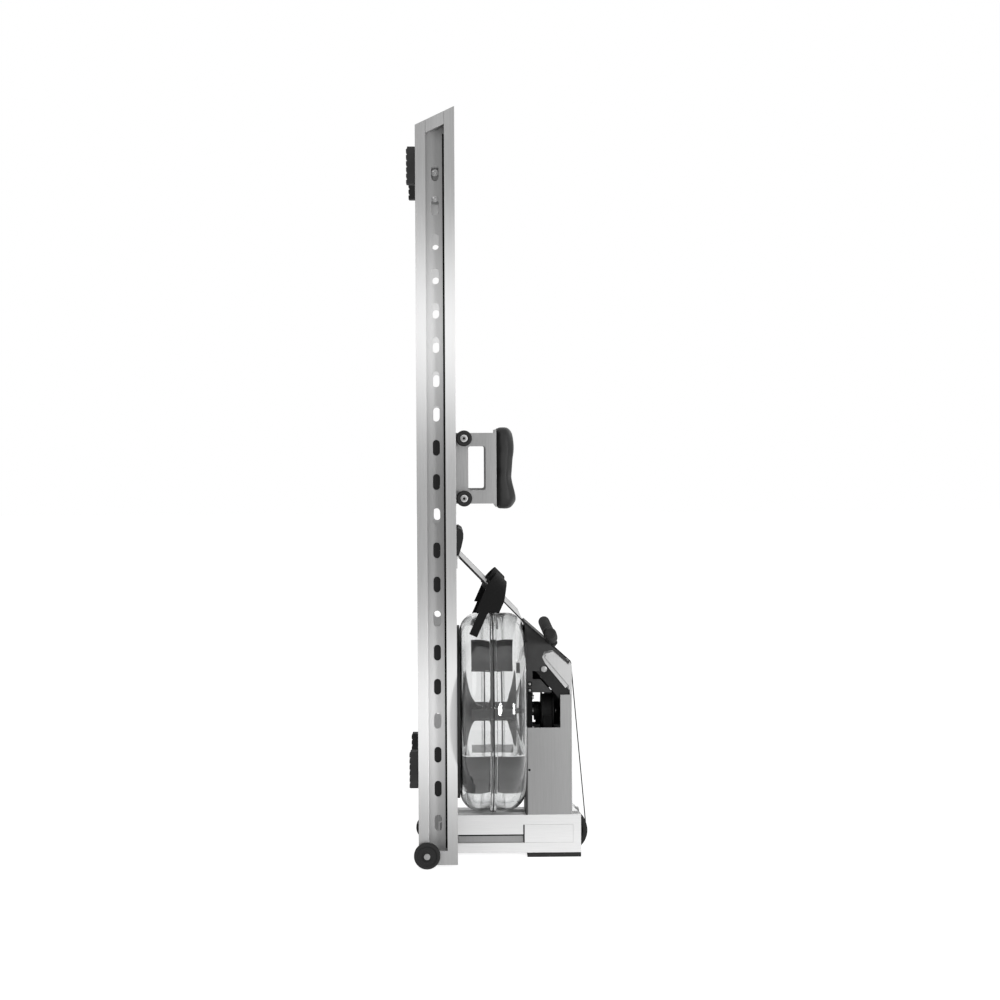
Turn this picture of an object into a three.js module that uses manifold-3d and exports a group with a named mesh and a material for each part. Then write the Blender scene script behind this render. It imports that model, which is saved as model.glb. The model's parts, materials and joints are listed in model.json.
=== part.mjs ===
// A water rowing machine, stored upright on its front end.
// Millimetres. X points up as the machine is used, Y across it, and Z up as it stands stored.
import * as THREE from 'three';
import { mergeVertices } from 'three/addons/utils/BufferGeometryUtils.js';
import Module from 'manifold-3d';

const wasm = await Module();
wasm.setup();

// Shared clearances and finenesses
const fitGap = 0.3; // between pieces that touch or nest
const overrun = 30; // how far a cutter reaches past the face it cuts
const weldTolerance = 1e-4; // vertices closer than this are one
const smallSides = 12; // sides of pegs and stubs
const roundSides = 16;
const wheelSides = 24;
const tankSides = 36;
const arcSteps = 3; // fineness of an arc in an outline
const tankArcSteps = 4; // points along a quarter turn of the tank's wall

// Rails, lipped channels that are open outwards
const railSpread = 430; // over the outer faces
const railDepth = 110;
const railWidth = 50;
const railWall = 4;
const railLip = 29;
const runnerLip = 12; // inward ledge that the seat's keepers run under
const railLift = 8; // rail's foot above the floor
const railLength = 2072; // along the short edge
const railSlant = 52; // how much longer the other edge is
const rearCapHeight = 36;
const frontCapHeight = 40;
const slotWidth = 20;
const slotLength = 45;
const slotCount = 20;
const firstSlotHeight = 120;
const lastSlotDrop = 128.4; // last slot's middle below the rail's upper end
const boltSpacing = 73; // of the two bolts that hold the rear cross member
const rearBoltDrop = 164.5; // middle of the two below the rail's upper end

// Rubber feet
const footDepth = 25;
const footLength = 103;
const footWidth = 44;
const footRibs = 6;
const footRibDepth = 3;
const footRibShare = 0.68;
const rearFootDrop = 163; // foot's lower end below the rail's upper end
const frontFootHeight = 225;

// Transport wheels and axle
const transportRadius = 37;
const transportWidth = 23;
const transportDepth = 23.5; // axle from the rail's underside
const transportGap = 1.5; // between rail and wheel
const transportAxleRadius = 6;
const transportHeadRadius = 9;
const transportHeadLength = 5;
const transportShares = [[0.34, 1], [0.42, 0.7], [0.7, 0.7], [0.76, 1], [0.94, 1], [1, 0.6]]; // radius, width

// Front post, two lipped channels side by side on a rubber pad
const padHeight = 12.7;
const padLength = 155;
const padSlotLength = 118;
const postSpread = 134;
const postWidth = 43;
const postOverhang = 25; // past the bridge cover
const postEndLip = 23;
const postApronLength = 193;
const postApronHeight = 28;

// Tank
const tankRadius = 286;
const tankDepth = 187;
const tankWall = 4;
const tankCornerRadius = 52;
const tankPostGap = 1; // between post and flange
const tankFlangeReach = 5;
const tankFlangeThickness = 7;
const gasketThickness = 3;
const dishRadius = 118; // of the dished middle of each end wall
const dishHubRadius = 12;
const paddleHubGap = 5; // between a dish and the paddle's hub
const baseDiscThickness = 7.9;
const baseDiscRadius = 250;
const plugRadius = 16;
const plugCapRadius = 22;
const plugCapThickness = 9;
const plugStemLength = 12;
const plugOffset = 150; // across the machine
const plugRise = 110; // above the tank's centre

// Paddle and shaft
const shaftRadius = 8;
const paddleHubWidth = 23;
const paddleHubRadius = 22;
const paddleArmWidth = 10;
const paddleArmThickness = 14;
const bladeInnerRadius = 116;
const bladeOuterRadius = 206;
const bladeWidth = 124;
const bladeThickness = 5;
const bladeSag = 22;
const bladeCount = 4;

// Bridge over the tank
const topPlateThickness = 6;
const topPlateWidth = 150;
const topPlateDrop = 78; // below the tank's rim
const topPlateHole = 22;
const bridgeRise = 125.6; // between top plate and cover
const sheetThickness = 4;
const coverThickness = 3;
const windowWidth = 95;
const windowAbove = 60.5; // above the tank's centre
const windowBelow = 41;
const coverTopAbove = 74; // of the cover's plate above the tank's centre
const coverNotchAbove = 38; // of the notch in its upper edge, which clears the monitor's toe
const coverNotchGap = 2; // beside the monitor
const cornerPostDrop = 7;
const bearingWidth = 110;
const bearingHeight = 120;
const bearingThickness = 15;
const bracketLength = 25;
const bracketHeight = 25;
const bracketStart = 22; // from the middle, clear of the pulley
const bracketWidth = 20;

// Drum with recoil spool, and the front pulley
const drumRadius = 50;
const drumFlangeRadius = 56;
const drumFlangeThickness = 4;
const drumWidth = 28;
const spoolRadius = 27;
const spoolWidth = 14;
const spoolOffset = 6; // from the bearing to the spool
const drumGap = 6; // between spool and drum
const drumHubRadius = 14;
const shaftEnd = 9; // past the drum
const pulleyInset = 41; // from the post's end
const pulleyFloorGap = 8;
const pulleyWidth = 34;
const pulleyFlange = 5;
const pulleyRim = 9;
const pulleyWeb = 8;
const pulleyHubRadius = 14;
const pulleyGrooveGap = 0.5; // beside the strap
const pulleyAxleRadius = 6;

// Drive strap
const strapWidth = 25;
const strapThickness = 2;
const strapGap = 0.6; // off the pulley, the guide bar and the drum
const strapTwistSteps = 20;
const strapTwistShare = 0.8; // of the way up to the drum
const strapWrapSteps = 18;

// Slanted deck, gussets and the strap's guide bar at the deck's nose
const deckTopDrop = 21; // deck's upper end below the tank's rim
const deckNoseAbove = 145; // deck's lower end above the tank's centre
const deckThickness = 3;
const deckWidth = 150;
const deckStart = 3; // from the line's upper end
const deckReach = 101; // deck's panel down the line
const hookHeight = 21;
const hookThickness = 9;
const hookWidth = 14;
const hookSpread = 90;
const gussetTopSetback = 1;
const gussetShelf = 14; // under the footboard
const gussetShelfStep = 3;
const gussetShelfFall = 6;
const gussetShelfDrop = 12;
const gussetFootShare = 0.57; // the three shares run from the top plate to the cover
const gussetToeShare = 0.3;
const gussetWaistShare = 0.12;
const gussetToeRise = 38;
const gussetWebShare = 0.64; // down the deck's line
const noseSetback = 4;
const noseDepth = 7.3;
const cheekDrop = 8.6; // below the deck's line
const cheekShare = 0.335; // of the deck's line that the cheek's edge follows
const cheekBack = 20; // from the cheek's crest to the end of its upper edge
const cheekFall = 6;
const cheekFaceGap = 8; // from the monitor's face
const cheekFaceStart = 2; // down the face
const cheekFaceEnd = 112;
const gussetCheekGap = 5;
const guideRadius = 5;
const guideInset = 6; // from the cover's outer face
const guideDrop = 5.5; // below the deck's nose

// Handle
const handlePlace = 94.5; // down the deck's line
const barRadius = 13;
const gripRadius = 17;
const handleLength = 430;
const handleBow = 30;
const handleBowBack = 12;
const gripStart = 80;
const gripEndInset = 4;
const handleFineness = 7; // half the sides of its section
const handleSteps = 12;
const gripSteps = 5;
const yokeEnd = 119; // down the deck's line
const strapRise = 1.2; // over the deck's line
const yokeWidth = 34;
const yokeThickness = 10;

// Monitor
const monitorLength = 134;
const monitorThickness = 37;
const monitorToe = 19; // thickness at the lower end, over the drum
const monitorToeDown = 46; // below the top of the face, where the hollow over the drum starts
const monitorToeWidth = 96; // of the hollow
const monitorWidth = 118;
const monitorCorner = 7;
const monitorTilt = 0.7; // of the face from upright, in radians
const monitorPlace = 69.5; // top of the face up the deck's line from its nose
const monitorDepth = 45.5; // top of the face under the deck's line
const pinDepth = 15; // behind the face
const pinDown = 25; // below the top of the face
const pinRadius = 5;
const pinEarRadius = 11;
const pinEarShares = [-0.75, 0.3]; // of a half turn, where the ear's round starts and ends
const pinHeadRadius = 9;
const pinHeadLength = 5;
const screenLength = 62;
const screenWidth = 92;
const screenThickness = 2;
const screenDown = 12;
const buttonCount = 4;
const buttonRadius = 7;
const buttonHeight = 4;
const buttonEdge = 1.3;
const buttonStem = 5;
const buttonWell = 8;
const buttonPitch = 24;
const buttonDown = 96;

// Footboard
const boardWidth = 390;
const boardThickness = 3;
const boardRailGap = 8;
const boardDrop = 182; // along Z
const boardEndBack = 7; // upper end from the deck's line
const boardEndRise = 15;
const boardTabLength = 35;
const boardTabWidth = 40;
const boardFoldDrop = 9;
const heelInnerEdge = 45;
const heelOuterEdge = 145;
const heelTongueLength = 150;
const heelTongueThickness = 4;
const heelCupHeight = 76;
const heelCupDepth = 14;
const heelCupShares = [
  [0.07, 0.04], [0.5, 0.3], [0.86, 0.6], [0.9, 0.78], [0.6, 0.92], [-0.1, 1], [-0.5, 0.97],
  [-0.45, 0.7], [-0.55, 0.4], [-0.8, 0.2], [-0.7, 0],
];
const heelLap = 2; // of the tongue past the board's end
const pegRadius = 4;
const pegHeadRadius = 9;
const pegHeadHeight = 8;
const pegDrop = 10; // below the tongue
const pegPlace = 118;
const heelTravel = 40;

// Foot straps
const footStrapWidth = 67; // at the board
const footStrapTopShare = 0.62; // of the width at the top of the arch
const footStrapThickness = 3;
const footStrapPlace = 147; // middle, down the board
const footStrapLean = 0.42; // from upright, in radians
const footStrapRise = 42;
const footStrapInnerEdge = 42;
const footStrapDrop = 36; // below the board at the lower edge
const footStrapPoint = 83; // below the board at the upper edge
const footTailWidth = 26;
const footTailSetback = 11; // from the strap's middle
const footTailEnd = 140; // below the board

// Seat
const seatHeight = 1022; // lower edge of the truck above the floor, stored
const truckLength = 200;
const truckHalfWidth = 150;
const truckSheet = 3;
const truckRise = 114.7; // truck's top above the rails
const truckKeeperDrop = 14;
const truckKeeperReach = 7;
const truckWindowLength = 124;
const truckWindowHeight = 49;
const truckWindowRise = 35;
const truckWindowCorner = 6;
const seatPlateOverhang = 10;
const seatWheelRadius = 22.5;
const seatWheelWidth = 18;
const seatWheelBore = 4.5;
const seatWheelShares = [[0.57, 1], [0.6, 0.7], [0.86, 1], [1, 0.5]]; // radius, width
const seatWheelInset = 15.5; // from the truck's end
const seatWheelSpread = 380; // between the middles of near and far wheels
const seatStubRadius = 8;
const seatScrewRadius = 7.5;
const seatScrewLength = 4;
const cushionLength = 230;
const cushionWidth = 296;
const cushionThickness = 40.5;
const cushionHorn = 20; // rise of the front edge
const cushionSwell = 5; // rise towards the back
const cushionHollow = 5; // under each thigh
const cushionHornShares = [0.1, 0.16]; // middle and width, from the front edge to the back
const cushionSwellShares = [0.72, 0.18];
const cushionHollowShares = [0.45, 0.2];
const cushionThighShares = [0.45, 0.25]; // from the middle to a side
const cushionEndPower = 0.5; // the smaller, the squarer
const cushionRimPower = 0.16;
const cushionSidePower = 0.45;
const cushionRings = 16;
const cushionSides = 28;
const stopLength = 22;
const stopDepth = 30;

// Places that follow from the sizes
const railTop = railLift + railLength;
const slotPitch = (railTop - lastSlotDrop - firstSlotHeight) / (slotCount - 1);
const postBottom = padHeight + fitGap;
const postTop = postBottom + railDepth;
const railMiddle = railSpread / 2 - railWidth / 2;
const webInner = railSpread / 2 - railWidth;
const tankLowX = railDepth + fitGap + baseDiscThickness + fitGap;
const tankHighX = tankLowX + tankDepth;
const tankMiddleX = (tankLowX + tankHighX) / 2;
const tankZ = postTop + tankPostGap + tankFlangeReach + tankRadius;
const tankTop = tankZ + tankRadius;
const topPlateTop = tankTop - topPlateDrop;
const topPlateX = tankHighX + fitGap;
const bridgeX = topPlateX + topPlateThickness + fitGap;
const coverX = bridgeX + bridgeRise;
const coverOuterX = coverX + coverThickness;
const postStartX = railDepth - railWall;
const postEndX = coverOuterX + postOverhang;
const pulleyX = postEndX - pulleyInset;
const pulleyZ = postBottom + railDepth / 2;
const pulleyRadius = pulleyZ - pulleyFloorGap - strapThickness;
const drumLowX = bridgeX + bearingThickness + spoolOffset + spoolWidth + drumGap;
const drumMiddleX = drumLowX + drumWidth / 2 + drumFlangeThickness;
const flat = (x, z) => new THREE.Vector2(x, z);
const deckTop = flat(tankHighX - fitGap - deckThickness, tankTop - deckTopDrop);
const deckNose = flat(coverX, tankZ + deckNoseAbove);
const deckAlong = deckNose.clone().sub(deckTop).normalize();
const deckOut = flat(-deckAlong.y, deckAlong.x);
const deckLength = deckNose.distanceTo(deckTop);
const onDeck = (down, out) => deckTop.clone().addScaledVector(deckAlong, down).addScaledVector(deckOut, out);
const faceOut = flat(Math.cos(monitorTilt), Math.sin(monitorTilt));
const faceDown = flat(faceOut.y, -faceOut.x);
const faceTop = onDeck(deckLength - monitorPlace, -monitorDepth);
const onFace = (down, out) => faceTop.clone().addScaledVector(faceDown, down).addScaledVector(faceOut, out);
const monitorPin = onFace(pinDown, -pinDepth);
const guide = flat(coverOuterX - guideInset, deckNose.y - guideDrop);
const boardHigh = flat(deckTop.x - boardEndBack, deckTop.y + boardEndRise);
const boardLow = flat(railDepth + boardRailGap, boardHigh.y + boardDrop);
const boardAlong = boardHigh.clone().sub(boardLow).normalize();
const boardOut = flat(-boardAlong.y, boardAlong.x);
const boardLength = boardHigh.distanceTo(boardLow);
const onBoard = (up, out) => boardLow.clone().addScaledVector(boardAlong, up).addScaledVector(boardOut, out);
const handleOut = deckThickness + fitGap + barRadius;
const handleMiddle = onDeck(handlePlace, handleOut);
const strapStart = onDeck(yokeEnd, strapRise);
const cheekCrest = onDeck(deckLength * (1 - cheekShare), -cheekDrop);
const cheekEnd = flat(cheekCrest.x - cheekBack, cheekCrest.y - cheekFall);
const seatTopX = railDepth + truckRise;
const seatWheelX = railDepth + fitGap + seatWheelRadius;

// Finishes
const brushedAluminium = { color: 0xc2c1be, roughness: 0.35, metalness: 0.9 };
const greySheet = { color: 0x9b9a98, roughness: 0.5, metalness: 0.6 };
const darkSheet = { color: 0x4b4a49, roughness: 0.55, metalness: 0.4 };
const blackPlastic = { color: 0x1d1d1d, roughness: 0.5, metalness: 0 };
const blackRubber = { color: 0x161616, roughness: 0.85, metalness: 0 };
const clearPlastic = { color: 0xdfe4e4, roughness: 0.05, metalness: 0, transparent: true, opacity: 0.3 };
const steel = { color: 0x8d8f91, roughness: 0.3, metalness: 1 };
const webbing = { color: 0x131313, roughness: 0.9, metalness: 0 };
const screenGlass = { color: 0x5a625c, roughness: 0.15, metalness: 0 };
const greyPlastic = { color: 0x6f6f6e, roughness: 0.5, metalness: 0 };

const machine = new THREE.Group();

function add(name, geometry, finish, parent = machine) {
  const mesh = new THREE.Mesh(geometry, new THREE.MeshStandardMaterial(finish));
  mesh.name = name;
  parent.add(mesh);
  return mesh;
}

// Outlines and solids

function outline(points) {
  return new THREE.Shape(points.map(([x, y]) => new THREE.Vector2(x, y)));
}

function rectangle(x0, x1, y0, y1) {
  return outline([[x0, y0], [x1, y0], [x1, y1], [x0, y1]]);
}

function roundedRectangle(x0, x1, y0, y1, radius) {
  const shape = new THREE.Shape();
  shape.absarc(x1 - radius, y0 + radius, radius, -Math.PI / 2, 0);
  shape.absarc(x1 - radius, y1 - radius, radius, 0, Math.PI / 2);
  shape.absarc(x0 + radius, y1 - radius, radius, Math.PI / 2, Math.PI);
  shape.absarc(x0 + radius, y0 + radius, radius, Math.PI, Math.PI * 1.5);
  shape.closePath();
  return shape;
}

// Each corner is rounded off from the reach before it to the reach after it.
function roundedOutline(corners, reach) {
  const shape = new THREE.Shape();
  corners.forEach((corner, i) => {
    const before = corners[(i + corners.length - 1) % corners.length];
    const after = corners[(i + 1) % corners.length];
    const from = before.clone().sub(corner).setLength(reach).add(corner);
    const to = after.clone().sub(corner).setLength(reach).add(corner);
    if (i === 0) {
      shape.moveTo(from.x, from.y);
    } else {
      shape.lineTo(from.x, from.y);
    }
    shape.quadraticCurveTo(corner.x, corner.y, to.x, to.y);
  });
  shape.closePath();
  return shape;
}

// A slot with round ends, long in the outline's second direction
function obround(x, y, width, length) {
  const reach = (length - width) / 2;
  const shape = new THREE.Shape();
  shape.absarc(x, y + reach, width / 2, 0, Math.PI);
  shape.absarc(x, y - reach, width / 2, Math.PI, Math.PI * 2);
  shape.closePath();
  return shape;
}

function ring(x, y, radius, sides) {
  const points = [];
  for (let i = 0; i < sides; i += 1) {
    const angle = (i / sides) * Math.PI * 2;
    points.push(new THREE.Vector2(x + radius * Math.cos(angle), y + radius * Math.sin(angle)));
  }
  return new THREE.Path(points);
}

// An outline drawn in X and Y, raised along Z
function alongZ(shape, z0, z1) {
  const options = { depth: z1 - z0, bevelEnabled: false, curveSegments: arcSteps };
  const geometry = new THREE.ExtrudeGeometry(shape, options);
  geometry.translate(0, 0, z0);
  return geometry;
}

// An outline drawn in X and Z, carried along Y
function alongY(shape, y0, y1) {
  const geometry = alongZ(shape, 0, y1 - y0);
  geometry.rotateX(Math.PI / 2);
  geometry.translate(0, y1, 0);
  return geometry;
}

// An outline drawn in Y and Z, carried along X
function alongX(shape, x0, x1) {
  const geometry = alongZ(shape, x0, x1);
  const turn = new THREE.Matrix4();
  turn.makeBasis(new THREE.Vector3(0, 1, 0), new THREE.Vector3(0, 0, 1), new THREE.Vector3(1, 0, 0));
  geometry.applyMatrix4(turn);
  return geometry;
}

// A profile of radius and place, turned about Y
function turnedY(profile, sides) {
  const points = profile.map(([radius, place]) => new THREE.Vector2(radius, place));
  if (THREE.ShapeUtils.isClockWise(points)) points.reverse();
  const first = points[0];
  const last = points[points.length - 1];
  if (first.x > 0 || last.x > 0) points.push(first.clone());
  return new THREE.LatheGeometry(points, sides);
}

// The same turned about X
function turnedX(profile, sides) {
  const geometry = turnedY(profile, sides);
  geometry.rotateZ(-Math.PI / 2);
  return geometry;
}

// A wheel's profile from its bore out over the rim, the same on both sides
function wheelProfile(bore, radius, width, shares) {
  const low = shares.map(([out, half]) => [radius * out, -width / 2 * half]);
  const high = shares.map(([out, half]) => [radius * out, width / 2 * half]).reverse();
  return [[bore, -width / 2], ...low, ...high, [bore, width / 2]];
}

// A bar along Y about a centre in X and Z
function crossBar(radius, y0, y1, x, z, sides) {
  const bar = turnedY([[0, y0], [radius, y0], [radius, y1], [0, y1]], sides);
  bar.translate(x, 0, z);
  return bar;
}

function solidOf(geometry) {
  const bare = geometry.clone();
  for (const name of Object.keys(bare.attributes)) {
    if (name !== 'position') bare.deleteAttribute(name);
  }
  const merged = mergeVertices(bare, weldTolerance);
  const corners = merged.index.array;
  const kept = [];
  for (let i = 0; i < corners.length; i += 3) {
    const [a, b, c] = [corners[i], corners[i + 1], corners[i + 2]];
    if (a !== b && b !== c && c !== a) kept.push(a, b, c);
  }
  const vertProperties = new Float32Array(merged.attributes.position.array);
  return new wasm.Manifold(new wasm.Mesh({ numProp: 3, vertProperties, triVerts: new Uint32Array(kept) }));
}

function geometryOf(solid) {
  const mesh = solid.getMesh();
  const geometry = new THREE.BufferGeometry();
  geometry.setAttribute('position', new THREE.BufferAttribute(new Float32Array(mesh.vertProperties), 3));
  geometry.setIndex(new THREE.BufferAttribute(new Uint32Array(mesh.triVerts), 1));
  const faceted = geometry.toNonIndexed();
  faceted.computeVertexNormals();
  return faceted;
}

function joined(...geometries) {
  return geometryOf(geometries.map(solidOf).reduce((whole, solid) => whole.add(solid)));
}

function cut(geometry, ...cutters) {
  const solids = cutters.map(solidOf);
  return geometryOf(solids.reduce((whole, cutter) => whole.subtract(cutter), solidOf(geometry)));
}

function shared(first, second) {
  return geometryOf(solidOf(first).intersect(solidOf(second)));
}

// A skin over rings of equally many points, closed at both ends by a fan
function lofted(rings) {
  const sides = rings[0].length;
  const positions = rings.flat().flatMap((point) => [point.x, point.y, point.z]);
  const index = [];
  for (let i = 0; i + 1 < rings.length; i += 1) {
    for (let j = 0; j < sides; j += 1) {
      const a = i * sides + j;
      const b = i * sides + ((j + 1) % sides);
      index.push(a, b, b + sides, a, b + sides, a + sides);
    }
  }
  const end = (rings.length - 1) * sides;
  for (let j = 1; j + 1 < sides; j += 1) {
    index.push(0, j + 1, j);
    index.push(end, end + j, end + j + 1);
  }
  const geometry = new THREE.BufferGeometry();
  geometry.setAttribute('position', new THREE.Float32BufferAttribute(positions, 3));
  geometry.setIndex(index);
  return geometry;
}

// The outline of a strip of even thickness along a row of points
function strip(points, thickness) {
  const sides = [-1, 1].map((sign) => points.map((point, i) => {
    const before = points[Math.max(i - 1, 0)];
    const after = points[Math.min(i + 1, points.length - 1)];
    const along = after.clone().sub(before).normalize();
    return [point.x - sign * along.y * thickness / 2, point.y + sign * along.x * thickness / 2];
  }));
  return outline([...sides[0], ...sides[1].reverse()]);
}

// Rails

// Half of the profile's corners run round the outside, half round the inside; the first number is
// across the rail's depth and the second goes in from the mouth.
function channelCorners(depth, width, ledge) {
  const inner = width - railWall;
  return [
    [railLip, 0], [0, 0], [0, width], [depth - railWall, width],
    ...(ledge > 0 ? [[depth - railWall, width + ledge], [depth, width + ledge]] : [[depth, width]]),
    [depth, 0], [depth - railLip, 0], [depth - railLip, railWall], [depth - railWall, railWall],
    [depth - railWall, inner], [railWall, inner], [railWall, railWall], [railLip, railWall],
  ];
}

function slantedSlab(bottom, top) {
  const slope = railSlant / railDepth;
  const x0 = -overrun;
  const x1 = railDepth + overrun;
  return outline([
    [x0, bottom + x0 * slope], [x1, bottom + x1 * slope], [x1, top + x1 * slope], [x0, top + x0 * slope],
  ]);
}

function addRail(side, name) {
  const across = (inward) => side * (railSpread / 2 - inward);
  const place = ([depth, inward]) => [depth, across(inward)];
  const ends = [across(railWidth + overrun), across(-overrun)].sort((a, b) => a - b);
  const section = outline(channelCorners(railDepth, railWidth, runnerLip).map(place));
  const bar = alongZ(section, railLift, railTop + railSlant + overrun);
  const above = alongY(slantedSlab(railTop, railTop + railSlant + 2 * overrun), ...ends);
  const slots = [];
  for (let i = 0; i < slotCount; i += 1) {
    const slot = obround(railDepth / 2, firstSlotHeight + i * slotPitch, slotWidth, slotLength);
    slots.push(alongY(slot, ...ends));
  }
  const insideWall = railWall / 2;
  const plugEnds = [across(railWidth - insideWall), across(0)].sort((a, b) => a - b);
  const plug = rectangle(insideWall, railDepth - insideWall, railLift, railLift + frontCapHeight);
  const axleHole = crossBar(
    transportAxleRadius + fitGap, ...ends, transportDepth, transportRadius, roundSides);
  const rail = cut(joined(bar, alongY(plug, ...plugEnds)), above, ...slots, axleHole);
  add(`rail_${name}`, rail, brushedAluminium);

  const inner = railWall + fitGap;
  const mouth = railLip + fitGap;
  const capSection = outline([
    [mouth, 0], [mouth, inner], [inner, inner], [inner, railWidth - inner],
    [railDepth - inner, railWidth - inner], [railDepth - inner, inner],
    [railDepth - mouth, inner], [railDepth - mouth, 0],
  ].map(place));
  const capBar = alongZ(capSection, railTop - rearCapHeight - overrun, railTop + railSlant + overrun);
  const capSlab = alongY(slantedSlab(railTop - rearCapHeight, railTop), ...ends);
  add(`rail_rear_cap_${name}`, shared(capBar, capSlab), brushedAluminium);
}

// A cross member of the same channel between the rails' webs, its mouth facing down
function addCrossMember(name, topX, bottomZ) {
  const section = channelCorners(railDepth, railWidth, 0).map(([depth, inward]) => [
    topX - railWidth + inward, bottomZ + depth,
  ]);
  const reach = webInner - fitGap;
  add(name, alongY(outline(section), -reach, reach), brushedAluminium);
}

function addFoot(side, name, height) {
  const pitch = footLength / footRibs;
  const points = [[-fitGap, 0]];
  for (let i = 0; i < footRibs; i += 1) {
    const low = i * pitch;
    const high = low + pitch * footRibShare;
    points.push([-footDepth + footRibDepth, low], [-footDepth, low + footRibDepth / 2]);
    points.push([-footDepth, high - footRibDepth / 2], [-footDepth + footRibDepth, high]);
  }
  points.push([-footDepth + footRibDepth, footLength], [-fitGap, footLength]);
  const foot = add(name, alongY(outline(points), -footWidth / 2, footWidth / 2), blackRubber);
  foot.position.set(0, side * railMiddle, height);
}

function addTransportWheels() {
  const inner = railSpread / 2 + transportGap;
  const profile = wheelProfile(
    transportAxleRadius + fitGap, transportRadius, transportWidth, transportShares);
  for (const [side, name] of [[-1, 'near'], [1, 'far']]) {
    const wheel = add(`transport_wheel_${name}`, turnedY(profile, wheelSides), blackRubber);
    wheel.position.set(transportDepth, side * (inner + transportWidth / 2), transportRadius);
  }
  const shoulder = inner + transportWidth + fitGap;
  const end = shoulder + transportHeadLength;
  const axle = add('transport_axle', turnedY([
    [0, -end], [transportHeadRadius, -end], [transportHeadRadius, -shoulder],
    [transportAxleRadius, -shoulder], [transportAxleRadius, shoulder],
    [transportHeadRadius, shoulder], [transportHeadRadius, end], [0, end],
  ], roundSides), steel);
  axle.position.set(transportDepth, 0, transportRadius);
}

// Front post

function addPost(side, name) {
  const across = (inward) => side * (postSpread / 2 - inward);
  const section = channelCorners(railDepth, postWidth, 0).map(([depth, inward]) => [
    across(inward), postBottom + depth,
  ]);
  const bar = alongX(outline(section), postStartX, postEndX);
  const half = railWall / 2;
  const mouthSide = [across(0), across(railWall)].sort((a, b) => a - b);
  const fullSide = [across(0), across(postWidth - half)].sort((a, b) => a - b);
  const endPlate = alongX(
    rectangle(...fullSide, postBottom + half, postTop - half), postEndX - railWall, postEndX);
  const endLip = alongX(
    rectangle(...mouthSide, postBottom + half, postTop - half), postEndX - postEndLip, postEndX - half);
  const apronTop = postTop - railLip + half;
  const apronEnd = postStartX + postApronLength;
  const apron = alongX(
    rectangle(...mouthSide, apronTop - half - postApronHeight, apronTop), postStartX, apronEnd);
  const hole = crossBar(
    pulleyAxleRadius + fitGap, -postSpread, postSpread, pulleyX, pulleyZ, roundSides);
  add(`front_post_${name}`, cut(joined(bar, endPlate, endLip, apron), hole), brushedAluminium);
}

function addFloorPad() {
  const half = postSpread / 2 - fitGap;
  const slot = postSpread / 2 - postWidth;
  const x0 = postEndX - padLength;
  const pad = outline([
    [x0, -half], [postEndX, -half], [postEndX, -slot], [postEndX - padSlotLength, -slot],
    [postEndX - padSlotLength, slot], [postEndX, slot], [postEndX, half], [x0, half],
  ]);
  add('floor_pad', alongZ(pad, 0, padHeight), blackRubber);
}

function addFrontPulley() {
  const half = pulleyWidth / 2;
  const web = pulleyWeb / 2;
  const rimInner = pulleyRadius - pulleyRim;
  const bore = pulleyAxleRadius + fitGap;
  const groove = strapWidth / 2 + pulleyGrooveGap;
  const pulley = add('front_pulley', turnedY([
    [bore, -half], [pulleyHubRadius, -half], [pulleyHubRadius, -web], [rimInner, -web], [rimInner, -half],
    [pulleyRadius + pulleyFlange, -half], [pulleyRadius, -groove], [pulleyRadius, groove],
    [pulleyRadius + pulleyFlange, half], [rimInner, half], [rimInner, web], [pulleyHubRadius, web],
    [pulleyHubRadius, half], [bore, half],
  ], wheelSides), blackPlastic);
  pulley.position.set(pulleyX, 0, pulleyZ);
  const end = postSpread / 2 - postWidth + railWall;
  add('front_pulley_axle', crossBar(pulleyAxleRadius, -end, end, pulleyX, pulleyZ, roundSides), steel);
}

// Tank

// Half of the tank as radius and place along the shaft. The dish curves in to a hub at the middle,
// and the rim turns through a round corner to a flange at the middle plane.
function tankProfile(hubPlace, open) {
  const flat = tankRadius - tankCornerRadius;
  const seam = tankDepth / 2 - gasketThickness / 2 - fitGap;
  const outer = [];
  const inner = [];
  for (let i = 0; i <= tankArcSteps; i += 1) {
    const turn = (i / tankArcSteps) * (Math.PI / 2);
    const [s, c] = [Math.sin(turn), Math.cos(turn)];
    const outDish = dishRadius - dishHubRadius;
    outer.unshift([dishRadius - outDish * s, hubPlace - hubPlace * c]);
    inner.unshift([dishRadius - (outDish - tankWall) * s, hubPlace - (hubPlace - tankWall) * c]);
  }
  for (let i = 0; i <= tankArcSteps; i += 1) {
    const turn = (i / tankArcSteps) * (Math.PI / 2);
    const [s, c] = [Math.sin(turn), Math.cos(turn)];
    const innerCorner = tankCornerRadius - tankWall;
    outer.push([flat + tankCornerRadius * s, tankCornerRadius - tankCornerRadius * c]);
    inner.push([flat + innerCorner * s, tankCornerRadius - innerCorner * c]);
  }
  outer.push([tankRadius, seam - tankFlangeThickness]);
  outer.push([tankRadius + tankFlangeReach, seam - tankFlangeThickness]);
  outer.push([tankRadius + tankFlangeReach, seam]);
  inner.push([tankRadius - tankWall, seam]);
  if (!open) {
    outer.unshift([0, hubPlace]);
    inner.unshift([0, hubPlace + tankWall]);
    inner[1][1] += tankWall;
  }
  return [...outer, ...inner.reverse()];
}

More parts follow.
